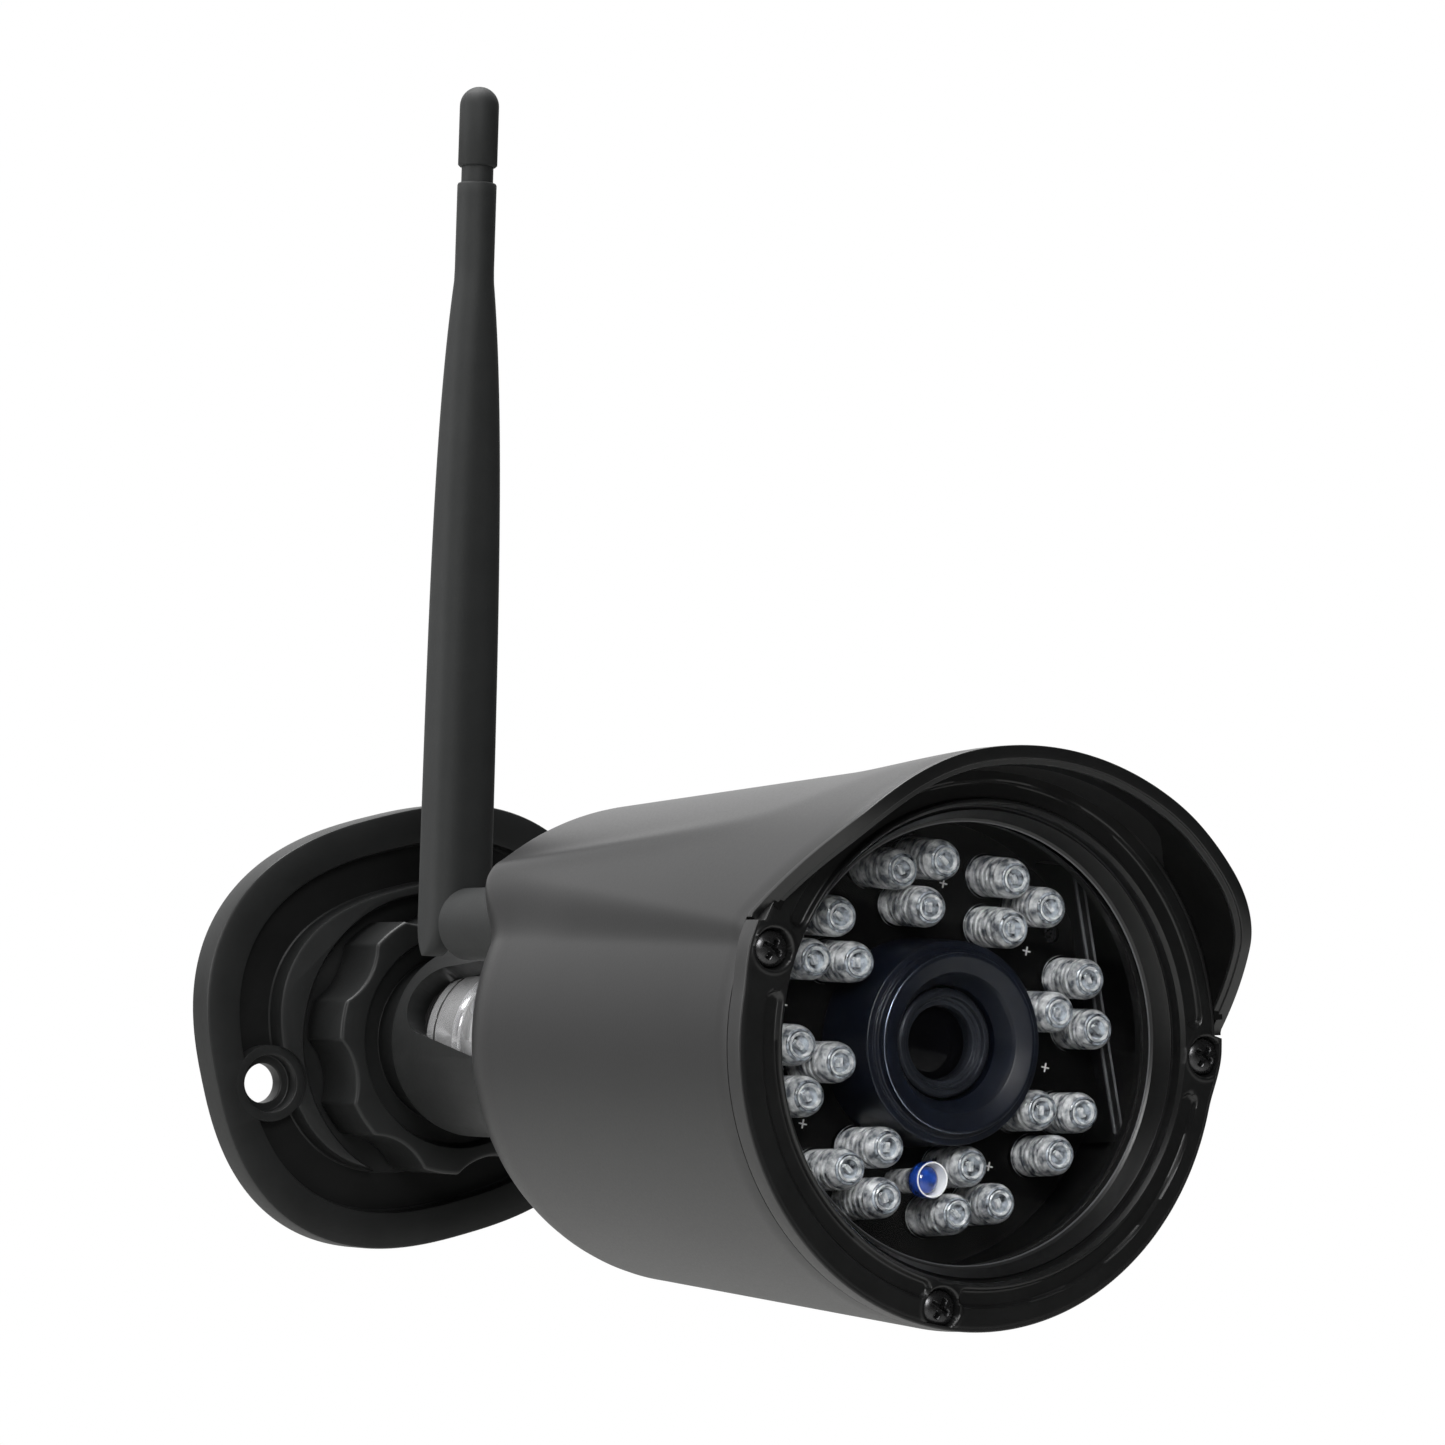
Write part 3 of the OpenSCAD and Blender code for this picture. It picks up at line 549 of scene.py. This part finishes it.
def shell_point(angle, step, dome_steps, body_steps, inset):
    """A point of the skin as (radius, D): steps run over the rear dome, then along the body."""
    dome_share = visor_share(angle, lerp(TOP_DOME_D, LOW_DOME_D, 0.5))
    if step <= dome_steps:
        t = math.radians(90 * step / dome_steps)
        low_r = (low_radius(angle, LOW_DOME_D) - inset) * math.sin(t)
        low_d = LOW_DOME_D - (LOW_DOME_H - inset) * math.cos(t)
        top_r = (visor_radius(angle, TOP_DOME_D) - inset) * math.sin(t) ** 0.9
        top_d = TOP_DOME_D - (TOP_DOME_H - inset) * math.cos(t)
        return lerp(low_r, top_r, dome_share), max(REAR_FLAT_D + inset, lerp(low_d, top_d, dome_share))
    u = (step - dome_steps) / body_steps
    start = lerp(LOW_DOME_D, TOP_DOME_D, dome_share)
    d = lerp(start, shell_front(angle), u)
    share = lerp(dome_share, visor_share(angle, d), smoothstep(0, 0.3, u))
    top_r = visor_radius(angle, max(d, TOP_DOME_D))
    low_r = low_radius(angle, max(d, LOW_DOME_D))
    return lerp(low_r, top_r, share) - inset, d


def build_shell():
    """The one shell of lower body, visor and rear dome, with its openings."""
    dome_steps, body_steps, columns = 26, 44, 480
    rings = []
    steps = list(range(1, dome_steps + body_steps + 1))
    for inset, order in ((0.0, steps), (WALL, list(reversed(steps)))):
        for step in order:
            ring = []
            for k in range(columns):
                angle = 360 * k / columns
                r, d = shell_point(angle, step, dome_steps, body_steps, inset)
                if step == dome_steps + body_steps and inset == 0:
                    # The skin turns in round its front edge
                    r -= 0.25
                t = math.radians(angle)
                ring.append(row(r * math.cos(t), d, r * math.sin(t)))
            rings.append(ring)
    verts, faces = loft(rings)
    shell = new_piece("shell", verts, faces, "charcoal_shell", "head", replaces=["housing"], sharp=32)
    socket_hole = ((-21, 10.9), 5.3, 66.1)
    stud_hole = ((0, -HEAD_RISE), 4.6, 66.0)
    gland_hole = ((0, -19), 4.4, 80.0)
    for centre, r, depth in (socket_hole, stud_hole, gland_hole):
        cut(shell, turned([(0, 50), (r, 50), (r, depth), (0, depth)], centre, 64))
    finish_mesh(shell, 32)


def build_trim():
    """Black rim that caps the hood's front edge, and the liner inside the hood."""

    def profile_at(angle):
        front = max(hood_edge(angle), SEAM_D + 1.3)
        skin = visor_radius(angle, front)
        points = [(skin - 0.25, front - 1.05), (skin - 0.1, front - 0.95), (skin - 0.1, front),
                  (skin - 1.7, front), (skin - 1.75, front - 0.35), (skin - 2.35, front - 0.5),
                  (skin - 2.45, front - 1.05), (skin - 1.5, front - 1.05)]
        return fillet(points, 0.14, steps=3, closed=True)

    def liner_at(angle):
        front = max(hood_edge(angle) - 0.9, BEZEL_D + 0.2)
        skin = visor_radius(angle, front)
        back = BEZEL_D + 0.05
        return [(skin - 2.4, front), (skin - 2.4, back), (skin - 1.2, back), (skin - 1.2, front)]

    def over_the_top(first, steps):
        return [lerp(first, 180 - first, k / steps) for k in range(steps + 1)]

    verts, faces = swept(profile_at, over_the_top(13.2, 260), closed=False)
    new_piece("hood_trim", verts, faces, "trim_black", "head", replaces=["visor_trim"], sharp=50)
    verts, faces = swept(liner_at, over_the_top(16.5, 200), closed=False)
    new_piece("hood_liner", verts, faces, "liner_black", "head", slot="trim_black", sharp=50)


# ---------- bezel ----------

# Places (x, z) of the bezel's screws, and the spans in degrees of the channels in its face
SCREWS = [(-32.0, 4.9), (32.0, 4.9), (0.0, -32.4)]
CHANNELS = [(17.5, 162.5), (182, 264), (276, 358)]
CHANNEL_R = 30.7


def channel_distance(r, angle):
    """Distance from the middle line of the nearest channel in the bezel's face."""
    a = math.radians(angle)
    gaps = []
    for start, end in CHANNELS:
        if start <= angle <= end:
            return abs(r - CHANNEL_R)
        for end_angle in (math.radians(start), math.radians(end)):
            gaps.append(math.hypot(r * math.cos(a) - CHANNEL_R * math.cos(end_angle),
                                   r * math.sin(a) - CHANNEL_R * math.sin(end_angle)))
    return min(gaps)


def bezel_height(r, angle):
    """D of the bezel's face: flat, with its channels sunk and a dish with a raised lip for each screw."""
    a = math.radians(angle)
    x, z = r * math.cos(a), r * math.sin(a)
    height = BEZEL_D - 0.7 * (1 - smoothstep(0.85, 1.2, channel_distance(r, angle)))
    for sx, sz in SCREWS:
        gap = math.hypot(x - sx, z - sz)
        height -= 1.4 * (1 - smoothstep(2.25, 2.55, gap))
        height += 0.12 * math.exp(-((gap - 2.85) / 0.2) ** 2)
    return height


def build_bezel():
    """Front ring with the window's seat inside it, and the band round its side."""
    face_in, face_rows = 29.25, 30

    def edge_radius(angle):
        """The bezel's outer edge: round below, with an ear at each side that reaches out to the visor."""
        edge = low_radius(angle, SEAM_D) - 0.2
        z = 34.5 * math.sin(math.radians(angle))
        ear = smoothstep(-1.5, 6.0, z) * (1 - smoothstep(7.5, 7.9, z))
        ear_r = SIDE_R - 0.6 - 0.5 * math.cos(math.radians(angle))
        return edge + (ear_r - edge) * ear

    def profile_at(angle):
        edge = edge_radius(angle)
        inner = fillet([(29.2, 135.5), (28.3, 135.5), (28.3, 141.3), (27.0, 141.3), (27.0, 141.55),
                        (27.35, 141.75), (28.3, 144.3), (28.5, 143.9), (28.8, 143.9), (28.85, 145.4),
                        (face_in, BEZEL_D)], 0.12, steps=2)
        face_radii = [lerp(face_in, edge - 0.5, k / face_rows) for k in range(1, face_rows)]
        face = [(r, bezel_height(r, angle)) for r in face_radii]
        side = edge - 0.4
        return inner + face + [(side, BEZEL_D - 0.05), (side, SEAM_D + 0.15), (29.2, SEAM_D + 0.15)]

    def band_at(angle):
        edge = edge_radius(angle)
        return fillet([(edge - 0.45, SEAM_D + 0.15, 0.02), (edge, SEAM_D + 0.15, 0.15), (edge, BEZEL_D, 0.35),
                       (edge - 0.45, BEZEL_D, 0.02)], 0.1, steps=4, closed=True)

    # Finer steps near the screws
    angles = []
    angle = 0.0
    screw_angles = [math.degrees(math.atan2(z, x)) for x, z in SCREWS]
    while angle < 360:
        angles.append(angle)
        near = min(abs((angle - screw_angle + 180) % 360 - 180) for screw_angle in screw_angles)
        angle += 0.3 if near < 6 else 0.6
    verts, faces = swept(profile_at, angles)
    new_piece("bezel", verts, faces, "trim_black", "head", replaces=["front_bezel"], sharp=50)
    # The band round the side wears a lighter copy of the trim's black: painted light on the bezel's side
    # wall.
    verts, faces = swept(band_at, angles)
    new_piece("bezel_band", verts, faces, "lit_band_black", "head", slot="trim_black", sharp=50)


def build_bezel_screws():
    """Pan heads with a cross recess, made as a height field over the head."""
    head_r, shank_r, columns, cross_turn = 2.15, 1.25, 72, 0.35
    angles = [2 * math.pi * k / columns for k in range(columns)]
    radii = [0.05] + [0.12 * k for k in range(1, 18)] + [2.1, head_r]
    shapes = []
    for x0, z0 in SCREWS:
        rings = []
        for r in radii:
            ring = []
            for a in angles:
                across, along = abs(r * math.cos(a + cross_turn)), abs(r * math.sin(a + cross_turn))
                recess = ((1 - smoothstep(0.2, 0.36, min(across, along)))
                          * (1 - smoothstep(1.1, 1.4, max(across, along))))
                d = BEZEL_D - 0.25 - 0.55 * (r / head_r) ** 3 - 0.9 * recess
                ring.append(row(x0 + r * math.cos(a), d, z0 + r * math.sin(a)))
            rings.append(ring)
        for r, d in ((head_r, BEZEL_D - 1.35), (shank_r, BEZEL_D - 1.4), (shank_r, SEAM_D - 10)):
            rings.append([row(x0 + r * math.cos(a), d, z0 + r * math.sin(a)) for a in angles])
        shapes.append(loft(rings))
    verts, faces = join_shapes(shapes)
    new_piece("bezel_screw_heads", verts, faces, "screw_black", "head", replaces=["bezel_screws"], sharp=55)


# ---------- window, lamps and lens ----------

GLASS_D = 141.3
GLASS_T = 1.4
LED_D = 129.4
LAMP_TOP = 138.0
LAMP_CENTRE = (0.4, 0.8)
LAMP_CLUSTERS = 8


def board_place(radius, angle):
    """A place on the lamp board, by its distance and angle from the middle of the ring of lamps."""
    a = math.radians(angle)
    return LAMP_CENTRE[0] + radius * math.cos(a), LAMP_CENTRE[1] + radius * math.sin(a)


def lamp_places():
    """Each cluster has one lamp near the lens and two farther out, spread to its sides."""
    near_r, far_r, spread = 15.9, 21.3, 8.4
    for i in range(LAMP_CLUSTERS):
        middle = 360 / LAMP_CLUSTERS * (i + 0.5)
        for radius, turn in ((near_r, 0), (far_r, spread), (far_r, -spread)):
            yield board_place(radius, middle + turn)


def build_window():
    """The flat pane, and a thin lighter grey ring at its seat's edge: a painted highlight."""
    pane_r, back = 28.2, GLASS_D - GLASS_T
    profile = fillet([(0, back), (pane_r, back), (pane_r, GLASS_D), (0, GLASS_D)], 0.1, 2)
    verts, faces = turned(profile, steps=160)
    pane = new_piece("window_pane", verts, faces, "clear_glass", "head", replaces=["window_glass"])
    pane.visible_shadow = False
    # Lighter grey ring at the seat's edge: painted highlight.
    edge = fillet([(26.9, 141.32), (27.2, 141.32), (27.2, 141.62), (26.9, 141.5)], 0.05, 2, closed=True)
    verts, faces = turned(edge, steps=160)
    new_piece("window_edge_highlight", verts, faces, "edge_grey", "head", slot="trim_black")


def build_lamps():
    """Clear lamps, each over a bright ribbed body with the chip's dark cup, its rim and its wire in front."""
    radius, inner = 2.5, 2.15
    dome = arc_points(radius, LAMP_TOP - radius, range(90, -1, -9))
    lens = [(0, LED_D), (2.75, LED_D), (2.75, LED_D + 0.9), (radius, LED_D + 1.0)] + dome
    ribs = [(0, LED_D + 0.2), (2.3, LED_D + 0.2), (2.3, LED_D + 0.8)]
    for k in range(5):
        d = LED_D + 1.1 + 0.95 * k
        ribs += [(inner, d), (inner, d + 0.4), (1.75, d + 0.55), (1.75, d + 0.75)]
    cap_d = LAMP_TOP - 2.6
    crown = arc_points(inner, cap_d, (90, 80, 70, 58))
    dish = [(1.75, cap_d + 1.1), (0, cap_d + 0.3)]
    cup = [(0, cap_d + 0.35), (1.8, cap_d + 1.1), (1.85, cap_d + 1.3), (1.65, cap_d + 1.45),
           (1.35, cap_d + 0.95), (0.6, cap_d + 0.55), (0, cap_d + 0.5)]
    rim = [(1.1, cap_d + 1.0), (1.45, cap_d + 1.35), (1.3, cap_d + 1.5), (1.0, cap_d + 1.15)]
    lenses, bodies, cups, rims = [], [], [], []
    for number, place in enumerate(lamp_places()):
        lenses.append(turned(lens, place, 32))
        bodies.append(turned(ribs + crown + dish, place, 28))
        cups.append(turned(cup, place, 28))
        rims.append(turned(rim, place, 28))
        wire_turn = math.radians(100 + 23 * (number % 3))
        rims.append(bar(*place, 0.5, 1.0, cap_d + 0.6, cap_d + 1.15, wire_turn))
    lamps = new_piece("ir_lamp_lenses", *join_shapes(lenses), "lamp_clear", "head", replaces=["ir_leds"])
    lamps.visible_shadow = False
    new_piece("ir_lamp_bodies", *join_shapes(bodies), "lamp_silver", "head", slot="lamp_clear", sharp=50)
    new_piece("ir_lamp_cups", *join_shapes(cups), "lamp_cup", "head", slot="lamp_clear")
    new_piece("ir_lamp_rims", *join_shapes(rims), "lamp_chip", "head", slot="lamp_clear")


def build_board_marks():
    """White crosses printed between the clusters, but not at the light sensor's place."""
    sensor_cluster, mark_r, line, length = 6, 18.6, 0.16, 1.1
    marks = []
    for i in range(LAMP_CLUSTERS):
        if i != sensor_cluster:
            place = board_place(mark_r, 360 / LAMP_CLUSTERS * i)
            marks += [bar(*place, line, length, LED_D, LED_D + 0.1, turn) for turn in (0, math.pi / 2)]
    new_piece("board_marks", *join_shapes(marks), "white_resin", "head", slot="board_black")


def build_frame_edge():
    """The straight side frame's front edge, shown as two thin lighter grey lines: painted highlights."""
    turn = math.radians(22.4)
    width, length = 0.3, 32
    rails = []
    for reach in (24.7, 25.75):
        rails.append(bar(reach * math.cos(turn), reach * math.sin(turn), width, length, WINDOW_D - 9.6,
                         WINDOW_D - 9.25, turn + math.pi / 2))
    new_piece("frame_edge_highlights", *join_shapes(rails), "edge_grey", "head", slot="trim_black")


def build_light_sensor():
    """A blue light sensor sunk in a cup that is white inside."""
    place = (0.9, -16.6)
    bead_place = (0.7, -16.6)
    mouth = LAMP_TOP - 0.6
    foot = fillet([(0, LED_D), (1.5, LED_D), (1.5, mouth - 3.4), (0, mouth - 3.4)], 0.15, 3)
    new_piece("sensor_foot", *turned(foot, place, 48), "lamp_silver", "head", slot="sensor_blue")
    sleeve = fillet([(0, mouth - 3.5), (1.5, mouth - 3.5), (2.25, mouth - 1.6), (2.25, mouth - 0.2),
                     (2.15, mouth - 0.05), (2.1, mouth - 1.0), (1.7, mouth - 2.4), (0, mouth - 2.4)], 0.05, 2)
    new_piece("sensor_sleeve", *turned(sleeve, place, 48), "sensor_blue", "head", slot="sensor_blue")
    lining = [(0, mouth - 2.35), (1.75, mouth - 2.35), (2.1, mouth - 1.0), (2.17, mouth), (2.0, mouth),
              (1.9, mouth - 1.0), (1.6, mouth - 2.1), (0, mouth - 2.1)]
    new_piece("sensor_cup", *turned(lining, place, 48), "white_resin", "head", slot="sensor_blue")
    bead_r, bead_h = 1.7, 1.1
    bead = [(0, mouth - 2.2), (bead_r - 0.3, mouth - 2.2)]
    bead += [(bead_r * math.sin(math.radians(t)), mouth - 1.3 + bead_h * math.cos(math.radians(t)))
             for t in range(90, -1, -10)]
    new_piece("sensor_bead", *turned(bead, bead_place, 48), "sensor_blue", "head", replaces=["light_sensor"])


def build_lens():
    """The hood round the lens, the lens's tube, painted highlights on the edges of its rings, and its front
    glass.
    """
    front = GLASS_D - GLASS_T - 0.2
    shroud = fillet([(9.1, LED_D), (12.4, LED_D), (12.4, front - 1.5), (11.6, front - 1.5, 0.1),
                     (11.5, front - 1.2), (11.0, front - 1.2), (10.95, front), (10.5, front, 0.1),
                     (8.6, front - 0.75, 0.3), (8.25, front - 1.2), (7.0, front - 3.2), (7.0, front - 5.6),
                     (9.1, front - 5.6)], 0.2, 4, closed=True)
    new_piece("lens_hood", *turned(shroud, steps=160), "shroud_satin", "head", replaces=["lens_shroud"])
    tip = WINDOW_D - 5.2
    barrel = fillet([(4.6, 109.4), (6, 109.4), (6, tip - 8), (6.6, tip - 8), (6.6, tip - 0.3), (6.25, tip),
                     (5.65, tip), (5.5, tip - 0.6), (5.2, tip - 0.6), (5.1, tip - 0.9), (4.6, tip - 0.9),
                     (4.4, tip - 1.6), (4.4, tip - 4.4), (3, tip - 5), (3, 115.4), (4.6, 114.4)],
                    0.12, 3, closed=True)
    new_piece("lens_tube", *turned(barrel, steps=128), "barrel_satin", "head", slot="shroud_satin",
              replaces=["lens_barrel"])
    # Thin strips of lighter bluish metal on the ring edges: painted highlights.
    rings = []
    for r, d in ((10.85, front - 0.1), (6.05, tip - 0.25), (5.05, tip - 1.0)):
        edge = [(r, d - 0.3), (r + 0.12, d), (r - 0.05, d + 0.1), (r - 0.5, d - 0.5)]
        rings.append(turned(fillet(edge, 0.05, 2, closed=True), steps=128))
    new_piece("barrel_ring_highlights", *join_shapes(rings), "ring_grey", "head", slot="shroud_satin")
    ball_r, glass_r = 10.0, 4.35
    edge_angle = math.degrees(math.asin(glass_r / ball_r))
    face = arc_points(ball_r, tip - 11.6, [edge_angle * k / 10 for k in range(10, -1, -1)])
    glass = [(0, tip - 4.3), (glass_r, tip - 4.3)] + face
    new_piece("lens_front", *turned(glass, steps=96), "lens_glass", "head", replaces=["lens_front_glass"])


# ---------- bracket ----------

# The plate's half length and half width, its turn on the wall, and its middle's offset from the stem's axis
PLATE_A, PLATE_B, PLATE_TURN = 33.4, 30.2, math.radians(25)
PLATE_OFF = (-0.6, 2.2)
PLATE_POWER = 2.5
HOLE_REACH = 26.0
BALL_D = 33.5


def on_plate(u, v):
    """Place on the wall of a point in the plate's own frame, whose u axis runs along the screw holes."""
    c, s = math.cos(PLATE_TURN), math.sin(PLATE_TURN)
    return u * c - v * s, u * s + v * c


def plate_ring(inset, d):
    """The plate's outline, drawn in by the inset, at a distance from the wall."""
    outline = superellipse(PLATE_A - inset, PLATE_B - inset, PLATE_POWER, 200)
    places = [on_plate(PLATE_OFF[0] + u, PLATE_OFF[1] + v) for u, v in outline]
    return [row(x, d, z, rise=0) for x, z in places]


def build_plate():
    """Flat rim, groove and raised terrace, a round well about the stem, and a boss for each wall screw."""
    section = [(0.4, 0), (0, 0.4), (0, 4.5), (0.12, 4.85), (0.45, 5.0), (4.55, 5.0), (4.85, 4.9), (4.95, 4.6),
               (5.1, 2.9), (5.4, 2.6), (10.2, 2.6), (10.45, 2.85), (10.6, 5.35), (10.75, 5.65), (11.1, 5.8)]
    plate = new_piece("mount_plate", *loft([plate_ring(inset, d) for inset, d in section]), "bracket_black",
                      "bracket", replaces=["wall_plate"], sharp=30)
    hub_r = 14.2
    well = [(hub_r, 3.0), (20.0, 3.0), (20.35, 3.3), (20.4, 5.4), (20.7, 5.8), (20.7, 9), (hub_r, 9)]
    cut(plate, turned(well, steps=160, rise=0))
    # A thin sheet of darker black lies on the groove's floor: painted shade in the groove.
    groove_section = [(5.25, 2.4), (5.25, 2.66), (10.35, 2.66), (10.35, 2.4)]
    groove_rings = [plate_ring(inset, d) for inset, d in groove_section]
    groove = new_piece("plate_groove_shade", *loft(groove_rings + groove_rings[:1], cap=False), "recess_black",
                       "bracket", slot="bracket_black", sharp=30)
    boss_r, hole_r = 5.25, 2.75
    boss = fillet([(hole_r, 0.05), (boss_r + 0.03, 0.05), (boss_r + 0.03, 5.0, 0.02), (4.0, 5.0), (4.0, 2.6),
                   (hole_r, 2.6)], 0.22, 3, closed=True)
    raised = []
    for side in (-1, 1):
        centre = on_plate(side * HOLE_REACH, 0)
        for part in (plate, groove):
            cut(part, turned([(0, -1), (boss_r, -1), (boss_r, 9), (0, 9)], centre, 96, rise=0))
        raised.append(turned(boss, centre, 96, rise=0))
    hub = fillet([(9, 2.4), (hub_r + 0.05, 2.4), (hub_r + 0.05, 8), (9, 8)], 0.2, 3, closed=True)
    raised.append(turned(hub, steps=128, rise=0))
    finish_mesh(plate, 30)
    finish_mesh(groove, 30)
    new_piece("plate_bosses", *join_shapes(raised), "bracket_black", "bracket", sharp=35)


def build_clamp():
    """Ring nut with scooped valleys between its lobes."""
    outer_r, valley_floor_r, scoop_r, lobes, first_valley = 18.7, 16.9, 9.0, 8, 109.5

    def rim(angle):
        pitch = 360 / lobes
        off = math.radians((angle + first_valley + pitch / 2) % pitch - pitch / 2)
        centre = valley_floor_r + scoop_r
        under = scoop_r ** 2 - (centre * math.sin(off)) ** 2
        if under <= 0:
            return outer_r
        return smooth_min(outer_r, centre * math.cos(off) - math.sqrt(under), 0.25)

    def profile_at(angle):
        r = rim(angle)
        return fillet([(14.7, 3.2), (r, 3.2), (r, 13.5, 0.6), (15.0, 13.5, 0.2), (14.4, 11.8, 0.1),
                       (12.1, 11.6, 0.05), (12.1, 11.3, 0.05), (14.7, 11.3, 0.1)], 0.3, 4, closed=True)

    verts, faces = swept(profile_at, [k * 0.5 for k in range(720)], rise=0)
    new_piece("clamp_collar", verts, faces, "bracket_black", "clamp", replaces=["clamp_ring"], sharp=50)


def build_stem():
    """Flange, neck and barrel turned in one, with the slot the stud tilts into."""
    cup_r, bore_d, bore_r = 10.55, 22.8, 7
    outer = fillet([(bore_r, 9), (14.4, 9), (14.4, 11), (11.6, 11), (11.6, 17.5), (13.3, 17.5, 0.9),
                    (13.3, 42.5, 0.8), (11.3, 42.5), (9.15, 38.7)], 0.2, 4)
    arc = arc_points(cup_r, BALL_D, range(62, 91, 4))
    inner = [(cup_r, bore_d), (bore_r, bore_d)]
    stem = new_piece("stem_body", *turned(outer + arc + inner, steps=200, rise=0), "bracket_black", "stem",
                     replaces=["stem"], sharp=35)
    end_d, half, mouth_d, flare = 26.0, 5.2, 50.0, 4.2
    outline = [(half * math.cos(math.radians(t)), end_d + half * math.sin(math.radians(t)))
               for t in range(180, 361, 9)]
    outline += [(half + flare, mouth_d), (-half - flare, mouth_d)]
    turn = math.radians(164)
    c, s = math.cos(turn), math.sin(turn)
    slot = loft([[row(u * c - v * s, d, u * s + v * c, rise=0) for v, d in outline] for u in (0.5, 20)])
    cut(stem, slot)
    bevel = stem.modifiers.new("bevel", "BEVEL")
    bevel.width = 0.4 * MM
    bevel.segments = 2
    bevel.limit_method = "ANGLE"
    bevel.angle_limit = math.radians(50)
    apply_modifiers(stem)
    finish_mesh(stem, 35)


def build_ball_seat():
    """Plated seat of the ball with a groove near its rim, and the ribbed rubber behind it."""
    ball_r, outer = 10.05, 10.4
    inside = [(math.sqrt(ball_r ** 2 - (BALL_D - d) ** 2), d) for d in (30.0, 28.8, 27.6, 26.4, 25.2, 24.6)]
    seat = [(6.0, 22.8), (outer, 22.8), (outer, 24.5), (outer - 0.35, 24.65), (outer - 0.35, 24.95),
            (outer, 25.1), (outer, 30.0)] + inside + [(6.0, 24.6)]
    new_piece("ball_cup", *turned(seat, steps=160, rise=0), "chrome_steel", "stem", replaces=["ball_seat"],
              sharp=40)
    # A ring of the rubber's black fills the groove nearly flush with the chrome: painted shade of the groove.
    groove = [(outer - 0.4, 24.55), (outer - 0.04, 24.6), (outer - 0.04, 25.0), (outer - 0.4, 25.05)]
    valley_r, rib_r = 9.6, 10.2
    ribs = [(0, 20.9), (9.4, 20.9)]
    for k in range(3):
        d = 21.0 + 0.6 * k
        ribs += [(rib_r, d), (rib_r, d + 0.25), (valley_r, d + 0.35), (valley_r, d + 0.5)]
    ribs += [(valley_r, 22.75), (0, 22.75)]
    shapes = [turned(groove, steps=160, rise=0), turned(ribs, steps=160, rise=0)]
    new_piece("ball_cup_ribs_and_groove_shade", *join_shapes(shapes), "rubber_black", "stem", sharp=40)


# ---------- antenna ----------

# The hinge of the blade, and the blade's lean to the left
ANT_X, ANT_Z = -20.8, 10.9
BLADE_D = 44.5
LEAN = math.radians(10)
ANTENNA_LENGTH = 113


def at_blade(u, v, h):
    """A point in the blade's frame (u across, v towards the viewer, h along the blade) as a row point."""
    x = ANT_X + u * math.cos(LEAN) - h * math.sin(LEAN)
    z = ANT_Z + u * math.sin(LEAN) + h * math.cos(LEAN)
    return row(x, BLADE_D + v, z)


def blade_ring(h, shrink=0.0):
    """The blade's outline at a height: wide, deep and squarish below, round and thin near the tip."""
    mix = 1 - math.exp(-max(0.0, 87 - h) / 20)
    width, depth, power = lerp(5.3, 9.5, mix), lerp(5.3, 7.8, mix), lerp(2.0, 2.8, mix)
    return superellipse(width / 2 - shrink, depth / 2 - shrink, power, 64)


def build_antenna():
    """The flat blade with its forked, rounded foot about the hinge, and the round tip beyond its neck."""
    foot, foot_steps = 4.3, 8
    shoulder, body_steps = 99.9, 60
    rings = []
    for k in range(foot_steps + 1):
        # Slices of the blade that thin out towards the bottom
        t = math.radians(90 * k / foot_steps)
        rings.append([at_blade(u, v * max(0.04, math.sin(t)), -foot * math.cos(t)) for u, v in blade_ring(0)])
    for k in range(1, body_steps):
        h = shoulder * k / body_steps
        rings.append([at_blade(u, v, h) for u, v in blade_ring(h)])
    for shrink, h in ((0.0, shoulder - 0.3), (0.1, shoulder - 0.08), (0.3, shoulder), (0.5, shoulder),
                      (0.5, shoulder + 2.2)):
        rings.append([at_blade(u, v, h) for u, v in blade_ring(shoulder, shrink)])
    blade = new_piece("antenna_body", *loft(rings), "antenna_matte", "antenna", replaces=["antenna_blade"],
                      sharp=50)
    slot_u, slot_v = 2.0, 8
    corners = [(-slot_u, -slot_v), (slot_u, -slot_v), (slot_u, slot_v), (-slot_u, slot_v)]
    slot = loft([[at_blade(u, v, h) for u, v in corners] for h in (-6.0, 3.4)])
    cut(blade, slot)
    finish_mesh(blade, 45)

    base, radius, columns = 102.1, 2.65, 48
    profile = [(radius - 0.25, base), (radius, base + 0.25), (radius, ANTENNA_LENGTH - radius)]
    profile += arc_points(radius, ANTENNA_LENGTH - radius, range(80, -1, -8))
    angles = [2 * math.pi * k / columns for k in range(columns)]
    rings = []
    for r, h in profile:
        r = max(r, 0.02)
        rings.append([at_blade(r * math.cos(a), r * math.sin(a), h) for a in angles])
    new_piece("antenna_tip", *loft(rings), "antenna_matte", "antenna", replaces=["antenna_cap"], sharp=50)


build_shell()
build_trim()
build_bezel()
build_bezel_screws()
build_window()
build_lamps()
build_board_marks()
build_frame_edge()
build_light_sensor()
build_lens()
build_plate()
build_clamp()
build_stem()
build_ball_seat()
build_antenna()

# The screws seen behind the window are dark in the photo
DARKENED = {"board_screws": "screw_black"}
for part in frame["record"]["subparts"]:
    shown = NODES[part["node"]]
    if not shown.hide_render:
        look = DARKENED.get(part["node"], part["material_slot"])
        shown.data.materials.clear()
        shown.data.materials.append(MATERIALS[look])
